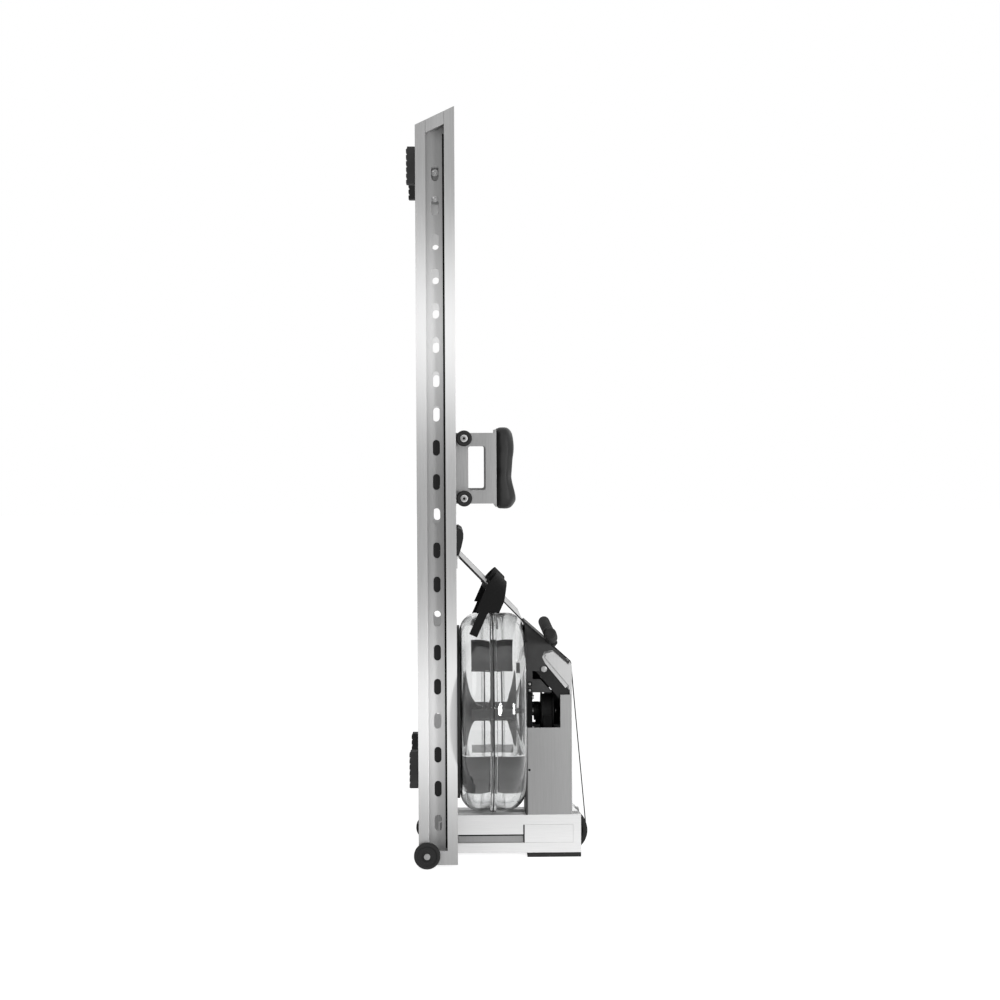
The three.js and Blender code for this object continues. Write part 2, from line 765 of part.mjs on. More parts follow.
function addTank() {
  const reach = (tankDepth - paddleHubWidth) / 2 - paddleHubGap;
  const lowerShell = turnedX(tankProfile(reach - tankWall, false), tankSides);
  const lower = add('tank_lower_shell', lowerShell, clearPlastic);
  lower.position.set(tankLowX, 0, tankZ);

  const upperShell = turnedX(tankProfile(reach, true), tankSides);
  upperShell.rotateY(Math.PI);
  const hole = turnedX([
    [0, -overrun], [plugRadius + fitGap, -overrun], [plugRadius + fitGap, overrun], [0, overrun],
  ], roundSides);
  hole.translate(0, plugOffset, plugRise);
  const upper = add('tank_upper_shell', cut(upperShell, hole), clearPlastic);
  upper.position.set(tankHighX, 0, tankZ);

  const half = gasketThickness / 2;
  const gasketInner = tankRadius - tankWall;
  const gasketOuter = tankRadius + tankFlangeReach;
  const gasket = add('tank_gasket', turnedX([
    [gasketInner, -half], [gasketOuter, -half], [gasketOuter, half], [gasketInner, half],
  ], tankSides), blackRubber);
  gasket.position.set(tankMiddleX, 0, tankZ);

  const disc = add('tank_base_disc', turnedX([
    [0, 0], [baseDiscRadius, 0], [baseDiscRadius, baseDiscThickness], [0, baseDiscThickness],
  ], tankSides), blackPlastic);
  disc.position.set(railDepth + fitGap, 0, tankZ);

  const plug = add('tank_plug', turnedX([
    [0, -plugStemLength], [plugRadius, -plugStemLength], [plugRadius, fitGap], [plugCapRadius, fitGap],
    [plugCapRadius, plugCapThickness], [0, plugCapThickness],
  ], roundSides), blackPlastic);
  plug.position.set(tankHighX, plugOffset, tankZ + plugRise);
}

function addPaddle() {
  const half = paddleHubWidth / 2;
  const bore = shaftRadius + fitGap;
  const hub = [[bore, -half], [paddleHubRadius, -half], [paddleHubRadius, half], [bore, half]];
  const pieces = [turnedX(hub, roundSides)];
  const sagPoints = [];
  for (let i = 0; i <= 2 * arcSteps; i += 1) {
    const share = i / (2 * arcSteps);
    const radius = bladeInnerRadius + (bladeOuterRadius - bladeInnerRadius) * share;
    sagPoints.push(new THREE.Vector2(bladeSag * Math.sin(Math.PI * share), radius));
  }
  const lap = paddleHubRadius - bore;
  for (let i = 0; i < bladeCount; i += 1) {
    const blade = alongX(strip(sagPoints, bladeThickness), -bladeWidth / 2, bladeWidth / 2);
    const armShape = rectangle(
      -paddleArmThickness / 2, paddleArmThickness / 2, bore + lap / 2, bladeInnerRadius + bladeThickness);
    const arm = alongX(armShape, -paddleArmWidth / 2, paddleArmWidth / 2);
    for (const piece of [blade, arm]) {
      piece.rotateX((i / bladeCount) * Math.PI * 2);
      pieces.push(piece);
    }
  }
  const paddle = add('paddle', joined(...pieces), blackPlastic);
  paddle.position.set(tankMiddleX, 0, tankZ);

  const low = tankMiddleX - half - paddleHubGap + fitGap;
  const high = drumMiddleX + drumWidth / 2 + drumFlangeThickness + shaftEnd;
  const shaft = add('paddle_shaft', turnedX([
    [0, low], [shaftRadius, low], [shaftRadius, high], [0, high],
  ], roundSides), steel);
  shaft.position.set(0, 0, tankZ);
}

// Bridge

function addBridge() {
  const half = topPlateWidth / 2;
  const low = postTop + fitGap;
  const plateShape = rectangle(-half, half, low, topPlateTop);
  plateShape.holes.push(ring(0, tankZ, topPlateHole, wheelSides));
  add('tank_top_plate', alongX(plateShape, topPlateX, topPlateX + topPlateThickness), darkSheet);

  const blockShape = roundedRectangle(-bearingWidth / 2, bearingWidth / 2,
    tankZ - bearingHeight / 2, tankZ + bearingHeight / 2, topPlateThickness);
  blockShape.holes.push(ring(0, tankZ, shaftRadius + fitGap, roundSides));
  add('shaft_bearing', alongX(blockShape, bridgeX, bridgeX + bearingThickness), blackPlastic);

  const outer = postSpread / 2;
  const inner = outer - sheetThickness;
  const windowX = bridgeX + windowWidth;
  const sidePlate = outline([
    [bridgeX, low], [coverX - fitGap, low], [coverX - fitGap, tankZ + windowAbove - cornerPostDrop],
    [windowX, tankZ + windowAbove - cornerPostDrop], [windowX, tankZ - windowBelow],
    [bridgeX, tankZ - windowBelow],
  ]);
  add('bridge_side_near', alongY(sidePlate, -outer, -inner), greySheet);
  add('bridge_side_far', alongY(sidePlate, inner, outer), greySheet);

  const coverTop = tankZ + coverTopAbove;
  const notchTop = pulleyZ + pulleyRadius + pulleyFlange + coverThickness;
  const toeNotch = monitorWidth / 2 + coverNotchGap;
  const toeNotchLow = tankZ + coverNotchAbove;
  const pieces = [alongX(outline([
    [-outer, low], [-bracketStart, low], [-bracketStart, notchTop], [bracketStart, notchTop],
    [bracketStart, low], [outer, low], [outer, coverTop], [toeNotch, coverTop], [toeNotch, toeNotchLow],
    [-toeNotch, toeNotchLow], [-toeNotch, coverTop], [-outer, coverTop],
  ]), coverX, coverOuterX)];
  for (const side of [-1, 1]) {
    const [y0, y1] = [side * bracketStart, side * (bracketStart + bracketWidth)].sort((a, b) => a - b);
    const ribY = (y0 + y1 - coverThickness) / 2;
    pieces.push(alongX(rectangle(y0, y1, low, low + coverThickness), coverX, coverX + bracketLength));
    pieces.push(alongY(outline([
      [coverX, low], [coverX + bracketLength, low], [coverX, low + bracketHeight],
    ]), ribY, ribY + coverThickness));
  }
  const cheekLow = tankZ + windowAbove - cornerPostDrop + fitGap;
  const corner = onDeck(deckLength, -cheekDrop);
  const cheek = outline([
    [coverOuterX, cheekLow], [coverOuterX, corner.y], corner.toArray(), cheekCrest.toArray(),
    cheekEnd.toArray(), onFace(cheekFaceStart, cheekFaceGap).toArray(),
    onFace(cheekFaceEnd, cheekFaceGap).toArray(), [coverX - coverThickness, cheekLow],
  ]);
  pieces.push(alongY(cheek, -outer, -inner), alongY(cheek, inner, outer));
  pieces.push(crossBar(guideRadius, -outer, outer, guide.x, guide.y, roundSides));
  add('bridge_cover', joined(...pieces), brushedAluminium);
}

function addDrum() {
  const bore = shaftRadius + fitGap;
  const half = spoolWidth / 2;
  const drumHalf = drumWidth / 2;
  const flangeHalf = drumHalf + drumFlangeThickness;
  const spoolMiddle = -flangeHalf - drumGap - half;
  const drum = add('drive_drum', turnedX([
    [bore, spoolMiddle - half], [spoolRadius, spoolMiddle - half], [spoolRadius, spoolMiddle + half],
    [drumHubRadius, spoolMiddle + half], [drumHubRadius, -flangeHalf], [drumFlangeRadius, -flangeHalf],
    [drumFlangeRadius, -drumHalf], [drumRadius, -drumHalf], [drumRadius, drumHalf],
    [drumFlangeRadius, drumHalf], [drumFlangeRadius, flangeHalf], [drumHubRadius, flangeHalf],
    [drumHubRadius, flangeHalf + drumGap], [bore, flangeHalf + drumGap],
  ], wheelSides), blackPlastic);
  drum.position.set(drumMiddleX, 0, tankZ);
}

// Deck and gussets

// A group whose X runs down a slope and whose Z stands out from it
function slopeGroup(start, along) {
  const group = new THREE.Group();
  group.position.set(start.x, 0, start.y);
  group.rotation.y = Math.atan2(-along.y, along.x);
  machine.add(group);
  return group;
}

// A gusset stands on the tank's top plate beside the window. Its upper edge carries the deck, its
// tip the footboard, and an ear under the deck the monitor's pin.
function gussetOutline() {
  const windowTop = tankZ + windowAbove;
  const plateTop = topPlateTop + fitGap;
  const waist = bridgeX + gussetWaistShare * bridgeRise;
  const shelf = onBoard(boardLength, -boardThickness - fitGap);
  const shelfEnd = onBoard(boardLength - gussetShelf, -boardThickness - fitGap);
  const noseTop = onDeck(deckLength - noseSetback, -fitGap);
  const noseLow = onDeck(deckLength - noseSetback, -noseDepth);
  const webLow = onDeck(gussetWebShare * deckLength, -noseDepth);
  const start = onDeck(gussetTopSetback, -fitGap);
  const shape = new THREE.Shape();
  shape.moveTo(bridgeX, windowTop);
  shape.lineTo(bridgeX + gussetFootShare * bridgeRise, windowTop);
  shape.lineTo(bridgeX + gussetToeShare * bridgeRise, windowTop + gussetToeRise);
  shape.lineTo(waist, windowTop + gussetToeRise);
  shape.lineTo(waist, monitorPin.y - pinEarRadius / 2);
  shape.absarc(monitorPin.x, monitorPin.y, pinEarRadius, ...pinEarShares.map((share) => share * Math.PI));
  shape.lineTo(faceTop.x, faceTop.y + gussetCheekGap);
  shape.lineTo(cheekEnd.x - gussetCheekGap, cheekEnd.y + gussetCheekGap);
  shape.lineTo(webLow.x, webLow.y);
  shape.lineTo(noseLow.x, noseLow.y);
  shape.lineTo(noseTop.x, noseTop.y);
  shape.lineTo(start.x, start.y);
  shape.lineTo(shelf.x, shelf.y);
  shape.lineTo(shelfEnd.x, shelfEnd.y);
  shape.lineTo(shelfEnd.x + gussetShelfStep, shelfEnd.y - gussetShelfFall);
  shape.lineTo(tankHighX + fitGap, deckTop.y - gussetShelfDrop);
  shape.lineTo(tankHighX + fitGap, plateTop);
  shape.lineTo(bridgeX, plateTop);
  shape.closePath();
  shape.holes.push(ring(monitorPin.x, monitorPin.y, pinRadius + fitGap, roundSides));
  return shape;
}

function addDeck() {
  const outer = postSpread / 2;
  const inner = outer - sheetThickness;
  add('gusset_near', alongY(gussetOutline(), -outer, -inner), darkSheet);
  add('gusset_far', alongY(gussetOutline(), inner, outer), darkSheet);

  const half = deckWidth / 2;
  const hookPlace = handlePlace + barRadius + fitGap;
  const pieces = [alongZ(rectangle(deckStart, deckReach, -half, half), 0, deckThickness)];
  for (const side of [-1, 1]) {
    const y0 = side * hookSpread / 2 - hookWidth / 2;
    const y1 = y0 + hookWidth;
    const hookEnd = hookPlace + hookThickness;
    const shoulder = hookHeight - hookThickness / 2;
    pieces.push(alongZ(rectangle(deckReach - hookWidth, hookEnd, y0, y1), 0, deckThickness));
    pieces.push(alongY(outline([
      [hookPlace, deckThickness / 2], [hookEnd, deckThickness / 2], [hookEnd, shoulder],
      [hookPlace + hookThickness / 2, hookHeight], [hookPlace, shoulder],
    ]), y0, y1));
  }
  add('handle_deck', joined(...pieces), blackPlastic, slopeGroup(deckTop, deckAlong));
}

// Handle

// The bar bows back towards the rower: each end lies behind the middle.
class HandleCurve extends THREE.Curve {
  constructor(start, end) {
    super();
    this.start = start;
    this.end = end;
  }

  getPoint(share, target = new THREE.Vector3()) {
    const y = this.start + (this.end - this.start) * share;
    const bend = (2 * y / handleLength) ** 2;
    return target.set(-handleBowBack * bend, y, handleBow * bend);
  }
}

function sweptRound(radius, bore, curve, steps) {
  const section = new THREE.Shape();
  section.absarc(0, 0, radius, 0, Math.PI * 2);
  if (bore > 0) {
    const hole = new THREE.Path();
    hole.absarc(0, 0, bore, 0, Math.PI * 2);
    section.holes.push(hole);
  }
  return new THREE.ExtrudeGeometry(section, {
    steps, extrudePath: curve, curveSegments: handleFineness, bevelEnabled: false,
  });
}

function addHandle() {
  const half = handleLength / 2;
  const bar = sweptRound(barRadius, 0, new HandleCurve(-half, half), handleSteps);
  const reach = strapStart.clone().sub(handleMiddle);
  const yokeShape = rectangle(0, reach.length() - strapGap, -yokeWidth / 2, yokeWidth / 2);
  const yoke = alongZ(yokeShape, -yokeThickness / 2, yokeThickness / 2);
  yoke.rotateY(-reach.angle());
  const group = new THREE.Group();
  group.position.set(handleMiddle.x, 0, handleMiddle.y);
  machine.add(group);
  add('handle_bar', joined(bar, yoke), blackPlastic, group);
  const gripEnd = half - gripEndInset;
  const bore = barRadius + 2 * fitGap;
  const near = new HandleCurve(-gripEnd, -gripStart);
  const far = new HandleCurve(gripStart, gripEnd);
  add('handle_grip_near', sweptRound(gripRadius, bore, near, gripSteps), blackRubber, group);
  add('handle_grip_far', sweptRound(gripRadius, bore, far, gripSteps), blackRubber, group);
}

// Drive strap. It runs from the handle's yoke over the guide bar to the front pulley, round it, and
// then turns a quarter twist on its way up to the drum.
function addStrap() {
  const wrapRadius = pulleyRadius + strapGap + strapThickness / 2;
  const guideWrap = guideRadius + strapGap + strapThickness / 2;
  const pulley = flat(pulleyX, pulleyZ);
  const gap = guide.clone().sub(pulley);
  const tangent = gap.angle() - Math.acos((wrapRadius - guideWrap) / gap.length());
  const toYoke = strapStart.clone().sub(guide);
  const leave = toYoke.angle() - Math.acos(guideWrap / toYoke.length());
  const onRound = (centre, radius, angle) => flat(
    centre.x + radius * Math.cos(angle), centre.y + radius * Math.sin(angle));
  const points = [onRound(pulley, wrapRadius, tangent)];
  for (let i = 0; i <= arcSteps; i += 1) {
    points.push(onRound(guide, guideWrap, tangent + (leave - tangent) * i / arcSteps));
  }
  points.push(strapStart);
  add('drive_strap', alongY(strip(points, strapThickness), -strapWidth / 2, strapWidth / 2), webbing);

  const rings = [];
  const corners = [[-1, -1], [1, -1], [1, 1], [-1, 1]];
  const across = (centre, width, thick) => corners.map(([a, b]) => centre.clone()
    .addScaledVector(width, a * strapWidth / 2).addScaledVector(thick, b * strapThickness / 2));
  const first = tangent - fitGap / wrapRadius;
  for (let i = 0; i <= strapWrapSteps; i += 1) {
    const angle = first - (first + Math.PI) * i / strapWrapSteps;
    const out = new THREE.Vector3(Math.cos(angle), 0, Math.sin(angle));
    const centre = out.clone().multiplyScalar(wrapRadius).add(new THREE.Vector3(pulleyX, 0, pulleyZ));
    rings.push(across(centre, new THREE.Vector3(0, 1, 0), out));
  }
  const from = new THREE.Vector3(pulleyX - wrapRadius, 0, pulleyZ);
  const drumWrap = drumRadius + strapGap + strapThickness / 2;
  const lean = Math.asin(drumWrap / (tankZ - pulleyZ));
  const to = new THREE.Vector3(
    drumMiddleX, -drumWrap * Math.cos(lean), tankZ - drumWrap * Math.sin(lean));
  for (let i = 1; i <= strapTwistSteps; i += 1) {
    const share = i / strapTwistSteps;
    const twist = Math.min(share / strapTwistShare, 1) * Math.PI / 2;
    const width = new THREE.Vector3(Math.sin(twist), Math.cos(twist), 0);
    const thick = new THREE.Vector3(-Math.cos(twist), Math.sin(twist), 0);
    rings.push(across(from.clone().lerp(to, share), width, thick));
  }
  add('drive_strap_inner', lofted(rings), webbing);
}

// Monitor

// Its group stands at the pin, with X out of the face and Z up it.
function addMonitor() {
  const group = new THREE.Group();
  group.position.set(monitorPin.x, 0, monitorPin.y);
  group.rotation.y = -monitorTilt;
  machine.add(group);
  const half = monitorWidth / 2;
  const low = pinDown - monitorLength;
  const back = pinDepth - monitorThickness;
  const body = alongY(roundedOutline([
    flat(pinDepth, low), flat(pinDepth, pinDown), flat(back, pinDown), flat(back, low),
  ], monitorCorner), -half, half);
  const hollow = alongY(outline([
    [back, pinDown - monitorToeDown], [pinDepth - monitorToe, low], [pinDepth - monitorToe, low - overrun],
    [back - overrun, low - overrun], [back - overrun, pinDown - monitorToeDown],
  ]), -monitorToeWidth / 2, monitorToeWidth / 2);
  const bore = crossBar(pinRadius + fitGap, -half - overrun, half + overrun, 0, 0, roundSides);
  const wells = [];
  for (let i = 0; i < buttonCount; i += 1) {
    const y = (i - (buttonCount - 1) / 2) * buttonPitch;
    const z = pinDown - buttonDown;
    const well = turnedX([[0, -buttonWell], [buttonRadius + fitGap, -buttonWell],
      [buttonRadius + fitGap, overrun], [0, overrun]], roundSides);
    well.translate(pinDepth, y, z);
    wells.push(well);
    const button = add(`monitor_button_${i + 1}`, turnedX([
      [0, -buttonStem], [buttonRadius, -buttonStem], [buttonRadius, buttonHeight - buttonEdge],
      [buttonRadius - buttonEdge, buttonHeight], [0, buttonHeight],
    ], roundSides), greyPlastic, group);
    button.position.set(pinDepth, y, z);
  }
  add('monitor_case', cut(body, bore, hollow, ...wells), darkSheet, group);
  const screenTop = pinDown - screenDown;
  const screenShape = roundedRectangle(
    -screenWidth / 2, screenWidth / 2, screenTop - screenLength, screenTop, monitorCorner / 2);
  const screen = alongX(screenShape, pinDepth + fitGap, pinDepth + fitGap + screenThickness);
  add('monitor_screen', screen, screenGlass, group);
  const shoulder = postSpread / 2 + fitGap;
  const end = shoulder + pinHeadLength;
  const pin = add('monitor_pin', turnedY([
    [0, -end], [pinHeadRadius, -end], [pinHeadRadius, -shoulder], [pinRadius, -shoulder],
    [pinRadius, shoulder], [pinHeadRadius, shoulder], [pinHeadRadius, end], [0, end],
  ], roundSides), steel);
  pin.position.set(monitorPin.x, 0, monitorPin.y);
}

// Footboard

function addFootboard() {
  const half = boardWidth / 2;
  const sheet = alongY(rectangle(0, boardLength, -boardThickness, 0), -half, half);
  const slots = [];
  for (const side of [-1, 1]) {
    const middle = side * (heelInnerEdge + heelOuterEdge) / 2;
    const width = 2 * (pegRadius + fitGap);
    const slot = obround(middle, heelTravel / 2 - pegPlace, width, width + heelTravel);
    const cutter = alongZ(slot, -overrun, overrun);
    cutter.rotateZ(Math.PI / 2);
    slots.push(cutter);
  }
  const sloped = cut(sheet, ...slots);
  sloped.rotateY(Math.atan2(-boardAlong.y, boardAlong.x));
  sloped.translate(boardLow.x, 0, boardLow.y);
  const bottom = railDepth + fitGap;
  const low = onBoard(0, -boardThickness / 2);
  const tab = outline([
    [bottom, low.y], [bottom, low.y - boardTabLength], [bottom + boardThickness, low.y - boardTabLength],
    [bottom + boardThickness, low.y - boardFoldDrop],
    [low.x + boardThickness, low.y - boardThickness], [low.x, low.y],
  ]);
  const tabs = [alongY(tab, -half, boardTabWidth - half), alongY(tab, half - boardTabWidth, half)];
  add('footboard', joined(sloped, ...tabs), brushedAluminium);
}

// A heel slider: a cup for the heel, a tongue under the board and a peg through the board's slot
function addHeelSlider(side, name) {
  const under = -boardThickness - fitGap;
  const lower = under - heelTongueThickness;
  const cup = heelCupShares.map(([x, z]) => [boardLow.x + x * heelCupDepth, boardLow.y + z * heelCupHeight]);
  const points = [
    onBoard(heelTongueLength, under).toArray(), onBoard(-heelLap, under).toArray(), ...cup,
    onBoard(-heelLap, lower).toArray(), onBoard(heelTongueLength, lower).toArray(),
  ];
  const edges = [side * heelInnerEdge, side * heelOuterEdge].sort((a, b) => a - b);
  const peg = turnedY([
    [0, lower - pegDrop], [pegHeadRadius, lower - pegDrop], [pegHeadRadius, lower + heelTongueThickness / 2],
    [pegRadius, lower + heelTongueThickness / 2], [pegRadius, fitGap], [pegHeadRadius, fitGap],
    [pegHeadRadius, fitGap + pegHeadHeight], [0, fitGap + pegHeadHeight],
  ], smallSides);
  peg.rotateX(Math.PI / 2);
  peg.rotateY(Math.atan2(-boardAlong.y, boardAlong.x));
  const foot = onBoard(pegPlace, 0);
  peg.translate(foot.x, side * (heelInnerEdge + heelOuterEdge) / 2, foot.y);
  add(`heel_slider_${name}`, joined(alongY(outline(points), ...edges), peg), blackPlastic);
}

// A foot strap arches over the foot, widens on its way down past the board's edge, ends in a slanted
// edge and a hanging tail, and leans as a whole.
function addFootStrap(side, name) {
  const half = footStrapThickness / 2;
  const outer = boardWidth / 2 + fitGap + half;
  const middle = (footStrapInnerEdge + outer) / 2;
  const reach = outer - middle;
  const points = [];
  for (let i = 0; i <= 3 * arcSteps; i += 1) {
    const angle = Math.PI * (1 - i / (3 * arcSteps));
    const rise = fitGap + half + footStrapRise * Math.sin(angle);
    points.push(flat(side * (middle + reach * Math.cos(angle)), rise));
  }
  points.push(flat(side * outer, -footStrapDrop));
  const edge = footStrapWidth / 2;
  const band = alongX(strip(points, footStrapThickness), -edge, edge);
  const places = band.attributes.position;
  for (let i = 0; i < places.count; i += 1) {
    const climb = Math.max(places.getZ(i), 0) / footStrapRise;
    places.setX(i, places.getX(i) * (1 - (1 - footStrapTopShare) * climb));
  }
  const faces = [side * (outer - half), side * (outer + half)].sort((a, b) => a - b);
  const lap = footStrapThickness - footStrapDrop;
  const point = alongY(outline([
    [-edge, lap], [-edge, -footStrapPoint], [edge, -footStrapDrop], [edge, lap],
  ]), ...faces);
  const tailHalf = footTailWidth / 2;
  const tail = alongY(rectangle(
    -footTailSetback - tailHalf, tailHalf - footTailSetback, -footTailEnd, -footStrapDrop), ...faces);
  const upright = flat(Math.sin(footStrapLean), Math.cos(footStrapLean));
  const lean = new THREE.Matrix4().makeBasis(new THREE.Vector3(1, 0, 0), new THREE.Vector3(0, 1, 0),
    new THREE.Vector3(upright.dot(boardAlong), 0, upright.dot(boardOut)));
  const strap = joined(band, point, tail);
  strap.applyMatrix4(lean);
  strap.translate(footStrapPlace, 0, 0);
  strap.computeVertexNormals();
  add(`foot_strap_${name}`, strap, webbing, slopeGroup(boardLow, boardAlong));
}

// Seat

function addSeatTruck() {
  const [w, t] = [truckHalfWidth, truckSheet];
  const low = railDepth - truckKeeperDrop;
  const wide = w + truckKeeperReach;
  const top = seatTopX;
  const folded = alongZ(outline([
    [low, -wide], [low + t, -wide], [low + t, -w], [top, -w], [top, w], [low + t, w], [low + t, wide],
    [low, wide], [low, w - t], [top - t, w - t], [top - t, t - w], [low, t - w],
  ]), 0, truckLength);
  const plate = alongX(
    rectangle(-w, w, -seatPlateOverhang, truckLength + seatPlateOverhang), top - t, top);
  const windowStart = (truckLength - truckWindowLength) / 2;
  const windowX = railDepth + truckWindowRise;
  const opening = alongY(roundedRectangle(windowX, windowX + truckWindowHeight, windowStart,
    windowStart + truckWindowLength, truckWindowCorner), -wide, wide);
  const inner = seatWheelSpread / 2 - seatWheelWidth / 2 - fitGap;
  const outer = seatWheelSpread / 2 + seatWheelWidth / 2 + fitGap;
  const bare = seatWheelBore - fitGap;
  const stubs = [];
  for (const side of [-1, 1]) {
    for (const z of [seatWheelInset, truckLength - seatWheelInset]) {
      const stub = turnedY([
        [0, side * (w - t / 2)], [seatStubRadius, side * (w - t / 2)], [seatStubRadius, side * inner],
        [bare, side * inner], [bare, side * outer], [seatScrewRadius, side * outer],
        [seatScrewRadius, side * (outer + seatScrewLength)], [0, side * (outer + seatScrewLength)],
      ], smallSides);
      stub.translate(seatWheelX, 0, z);
      stubs.push(stub);
    }
  }
  const truck = add('seat_truck', joined(cut(joined(folded, plate), opening), ...stubs), brushedAluminium);
  truck.position.z = seatHeight;
}

function addSeatWheels() {
  const profile = wheelProfile(seatWheelBore, seatWheelRadius, seatWheelWidth, seatWheelShares);
  const ends = [['front', seatWheelInset], ['rear', truckLength - seatWheelInset]];
  for (const [side, sideName] of [[-1, 'near'], [1, 'far']]) {
    for (const [endName, z] of ends) {
      const wheel = add(`seat_wheel_${endName}_${sideName}`, turnedY(profile, roundSides), blackRubber);
      wheel.position.set(seatWheelX, side * seatWheelSpread / 2, seatHeight + z);
    }
  }
}

// A cushion with a raised front edge, a hollow for each thigh and rounded rims. The first share runs
// from the front edge to the back, the second from the middle to a side.
function cushionHeight(share, across) {
  const bell = (value, [middle, width]) => Math.exp(-(((value - middle) / width) ** 2));
  const horn = cushionHorn * bell(share, cushionHornShares);
  const swell = cushionSwell * bell(share, cushionSwellShares);
  const thigh = 1 + bell(Math.abs(across), cushionThighShares);
  return cushionThickness + horn + swell - cushionHollow * bell(share, cushionHollowShares) * thigh;
}

function addCushion() {
  const squared = (value, power) => Math.sign(value) * Math.abs(value) ** power;
  const rings = [];
  for (let i = 0; i < cushionRings; i += 1) {
    const turn = Math.PI * (i + 1) / (cushionRings + 1) - Math.PI / 2;
    const z = squared(Math.sin(turn), cushionEndPower) * cushionLength / 2;
    const size = Math.cos(turn) ** cushionRimPower;
    const ring = [];
    for (let j = 0; j < cushionSides; j += 1) {
      const angle = -(j / cushionSides) * Math.PI * 2;
      const across = squared(Math.cos(angle), cushionSidePower);
      const height = cushionHeight(z / cushionLength + 1 / 2, across * size);
      const lift = (1 + squared(Math.sin(angle), cushionSidePower)) / 2;
      ring.push(new THREE.Vector3(height * lift * size, across * size * cushionWidth / 2, z));
    }
    rings.push(ring);
  }
  const cushion = add('seat_cushion', lofted(rings), blackRubber);
  cushion.position.set(seatTopX + fitGap, 0, seatHeight + truckLength / 2);
}

function addSeatStop() {
  const high = railDepth - railWall - fitGap;
  const reach = webInner - fitGap;
  const shape = rectangle(high - stopDepth, high, 0, stopLength);
  const stop = add('seat_stop', alongY(shape, -reach, reach), blackRubber);
  stop.position.z = seatHeight - fitGap - stopLength;
}

addRail(-1, 'near');
addRail(1, 'far');
addCrossMember('front_cross_member', railDepth - railWall - fitGap, postBottom);
addCrossMember('rear_cross_member', (railDepth + railWidth) / 2, railTop - rearBoltDrop - railDepth / 2);
for (const [side, name] of [[-1, 'near'], [1, 'far']]) {
  addFoot(side, `rear_foot_${name}`, railTop - rearFootDrop);
  addFoot(side, `front_foot_${name}`, frontFootHeight);
  addPost(side, name);
}
addTransportWheels();
addFloorPad();
addFrontPulley();
addTank();
addPaddle();
addBridge();
addDrum();
addDeck();
addHandle();
addStrap();
addMonitor();
addFootboard();
for (const [side, name] of [[-1, 'near'], [1, 'far']]) {
  addHeelSlider(side, name);
  addFootStrap(side, name);
}
addSeatTruck();
addSeatWheels();
addCushion();
addSeatStop();

// The origin is on the floor under the middle of the machine
const extent = new THREE.Box3().setFromObject(machine);
const middle = extent.getCenter(new THREE.Vector3());
machine.position.set(-middle.x, -middle.y, -extent.min.z);
machine.updateMatrixWorld(true);

export default machine;
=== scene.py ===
import json
import math

import bmesh
import bpy
import numpy as np
from mathutils import Matrix, Vector

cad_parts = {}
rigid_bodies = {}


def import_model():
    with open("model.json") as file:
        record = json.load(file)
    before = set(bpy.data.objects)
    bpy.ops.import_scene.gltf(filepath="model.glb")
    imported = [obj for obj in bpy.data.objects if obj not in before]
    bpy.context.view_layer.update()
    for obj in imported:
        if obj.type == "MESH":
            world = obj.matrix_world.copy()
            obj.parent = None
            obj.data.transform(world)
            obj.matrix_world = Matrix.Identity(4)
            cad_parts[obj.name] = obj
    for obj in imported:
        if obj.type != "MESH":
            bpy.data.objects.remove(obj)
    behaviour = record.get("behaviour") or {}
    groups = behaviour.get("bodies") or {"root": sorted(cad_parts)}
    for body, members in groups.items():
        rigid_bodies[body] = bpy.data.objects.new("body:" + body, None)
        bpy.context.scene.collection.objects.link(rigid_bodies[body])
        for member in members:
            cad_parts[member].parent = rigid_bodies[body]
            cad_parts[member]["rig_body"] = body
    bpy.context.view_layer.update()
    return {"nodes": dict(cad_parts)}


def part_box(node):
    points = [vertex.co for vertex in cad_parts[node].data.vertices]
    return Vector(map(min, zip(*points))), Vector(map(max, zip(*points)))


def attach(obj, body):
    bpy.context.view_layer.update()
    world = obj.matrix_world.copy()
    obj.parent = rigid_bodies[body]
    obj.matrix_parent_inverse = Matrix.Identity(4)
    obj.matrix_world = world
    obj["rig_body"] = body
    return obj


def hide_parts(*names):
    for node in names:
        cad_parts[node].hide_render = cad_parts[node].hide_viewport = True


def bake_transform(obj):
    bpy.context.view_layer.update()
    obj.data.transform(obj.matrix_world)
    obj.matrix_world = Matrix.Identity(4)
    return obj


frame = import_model()
print("frame loaded:", len(frame["nodes"]), "nodes")

# Places are written in millimetres: X from the rails' underside, Y across, Z up from the floor
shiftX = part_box("rail_near")[0].x * 1000
alongX, againstX, alongY = (1, 0, 0), (-1, 0, 0), (0, 1, 0)
twoSides = (-1, 1)
squareCorners = np.array([(-1, -1), (1, -1), (1, 1), (-1, 1)])
bothSides = tuple(zip(twoSides, ("near", "far")))


def metres(points):
    # millimetres in the machine's own places to metres in the frame
    return (np.asarray(points, float).reshape(-1, 3) + [shiftX, 0, 0]) / 1000


def nodeBox(name):
    # lowest and highest corner of a node in the machine's millimetres
    return [np.array(corner) * 1000 - [shiftX, 0, 0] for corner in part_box(name)]


def grey(value):
    # a grey read as 0 to 255, as linear light
    tone = (value / 255) ** 2.2
    return (tone, tone, tone, 1)


def unit(vectors):
    # the same vectors at length 1
    return vectors / np.linalg.norm(vectors, axis=-1, keepdims=True)


def linked(name, data):
    thing = bpy.data.objects.new(name, data)
    bpy.context.scene.collection.objects.link(thing)
    return thing


# ---- camera

camera = dict(place=(-0.14685, -6.236, 1.193), lens=77.5, yaw=1.41, pitch=1.516, roll=-0.0047)


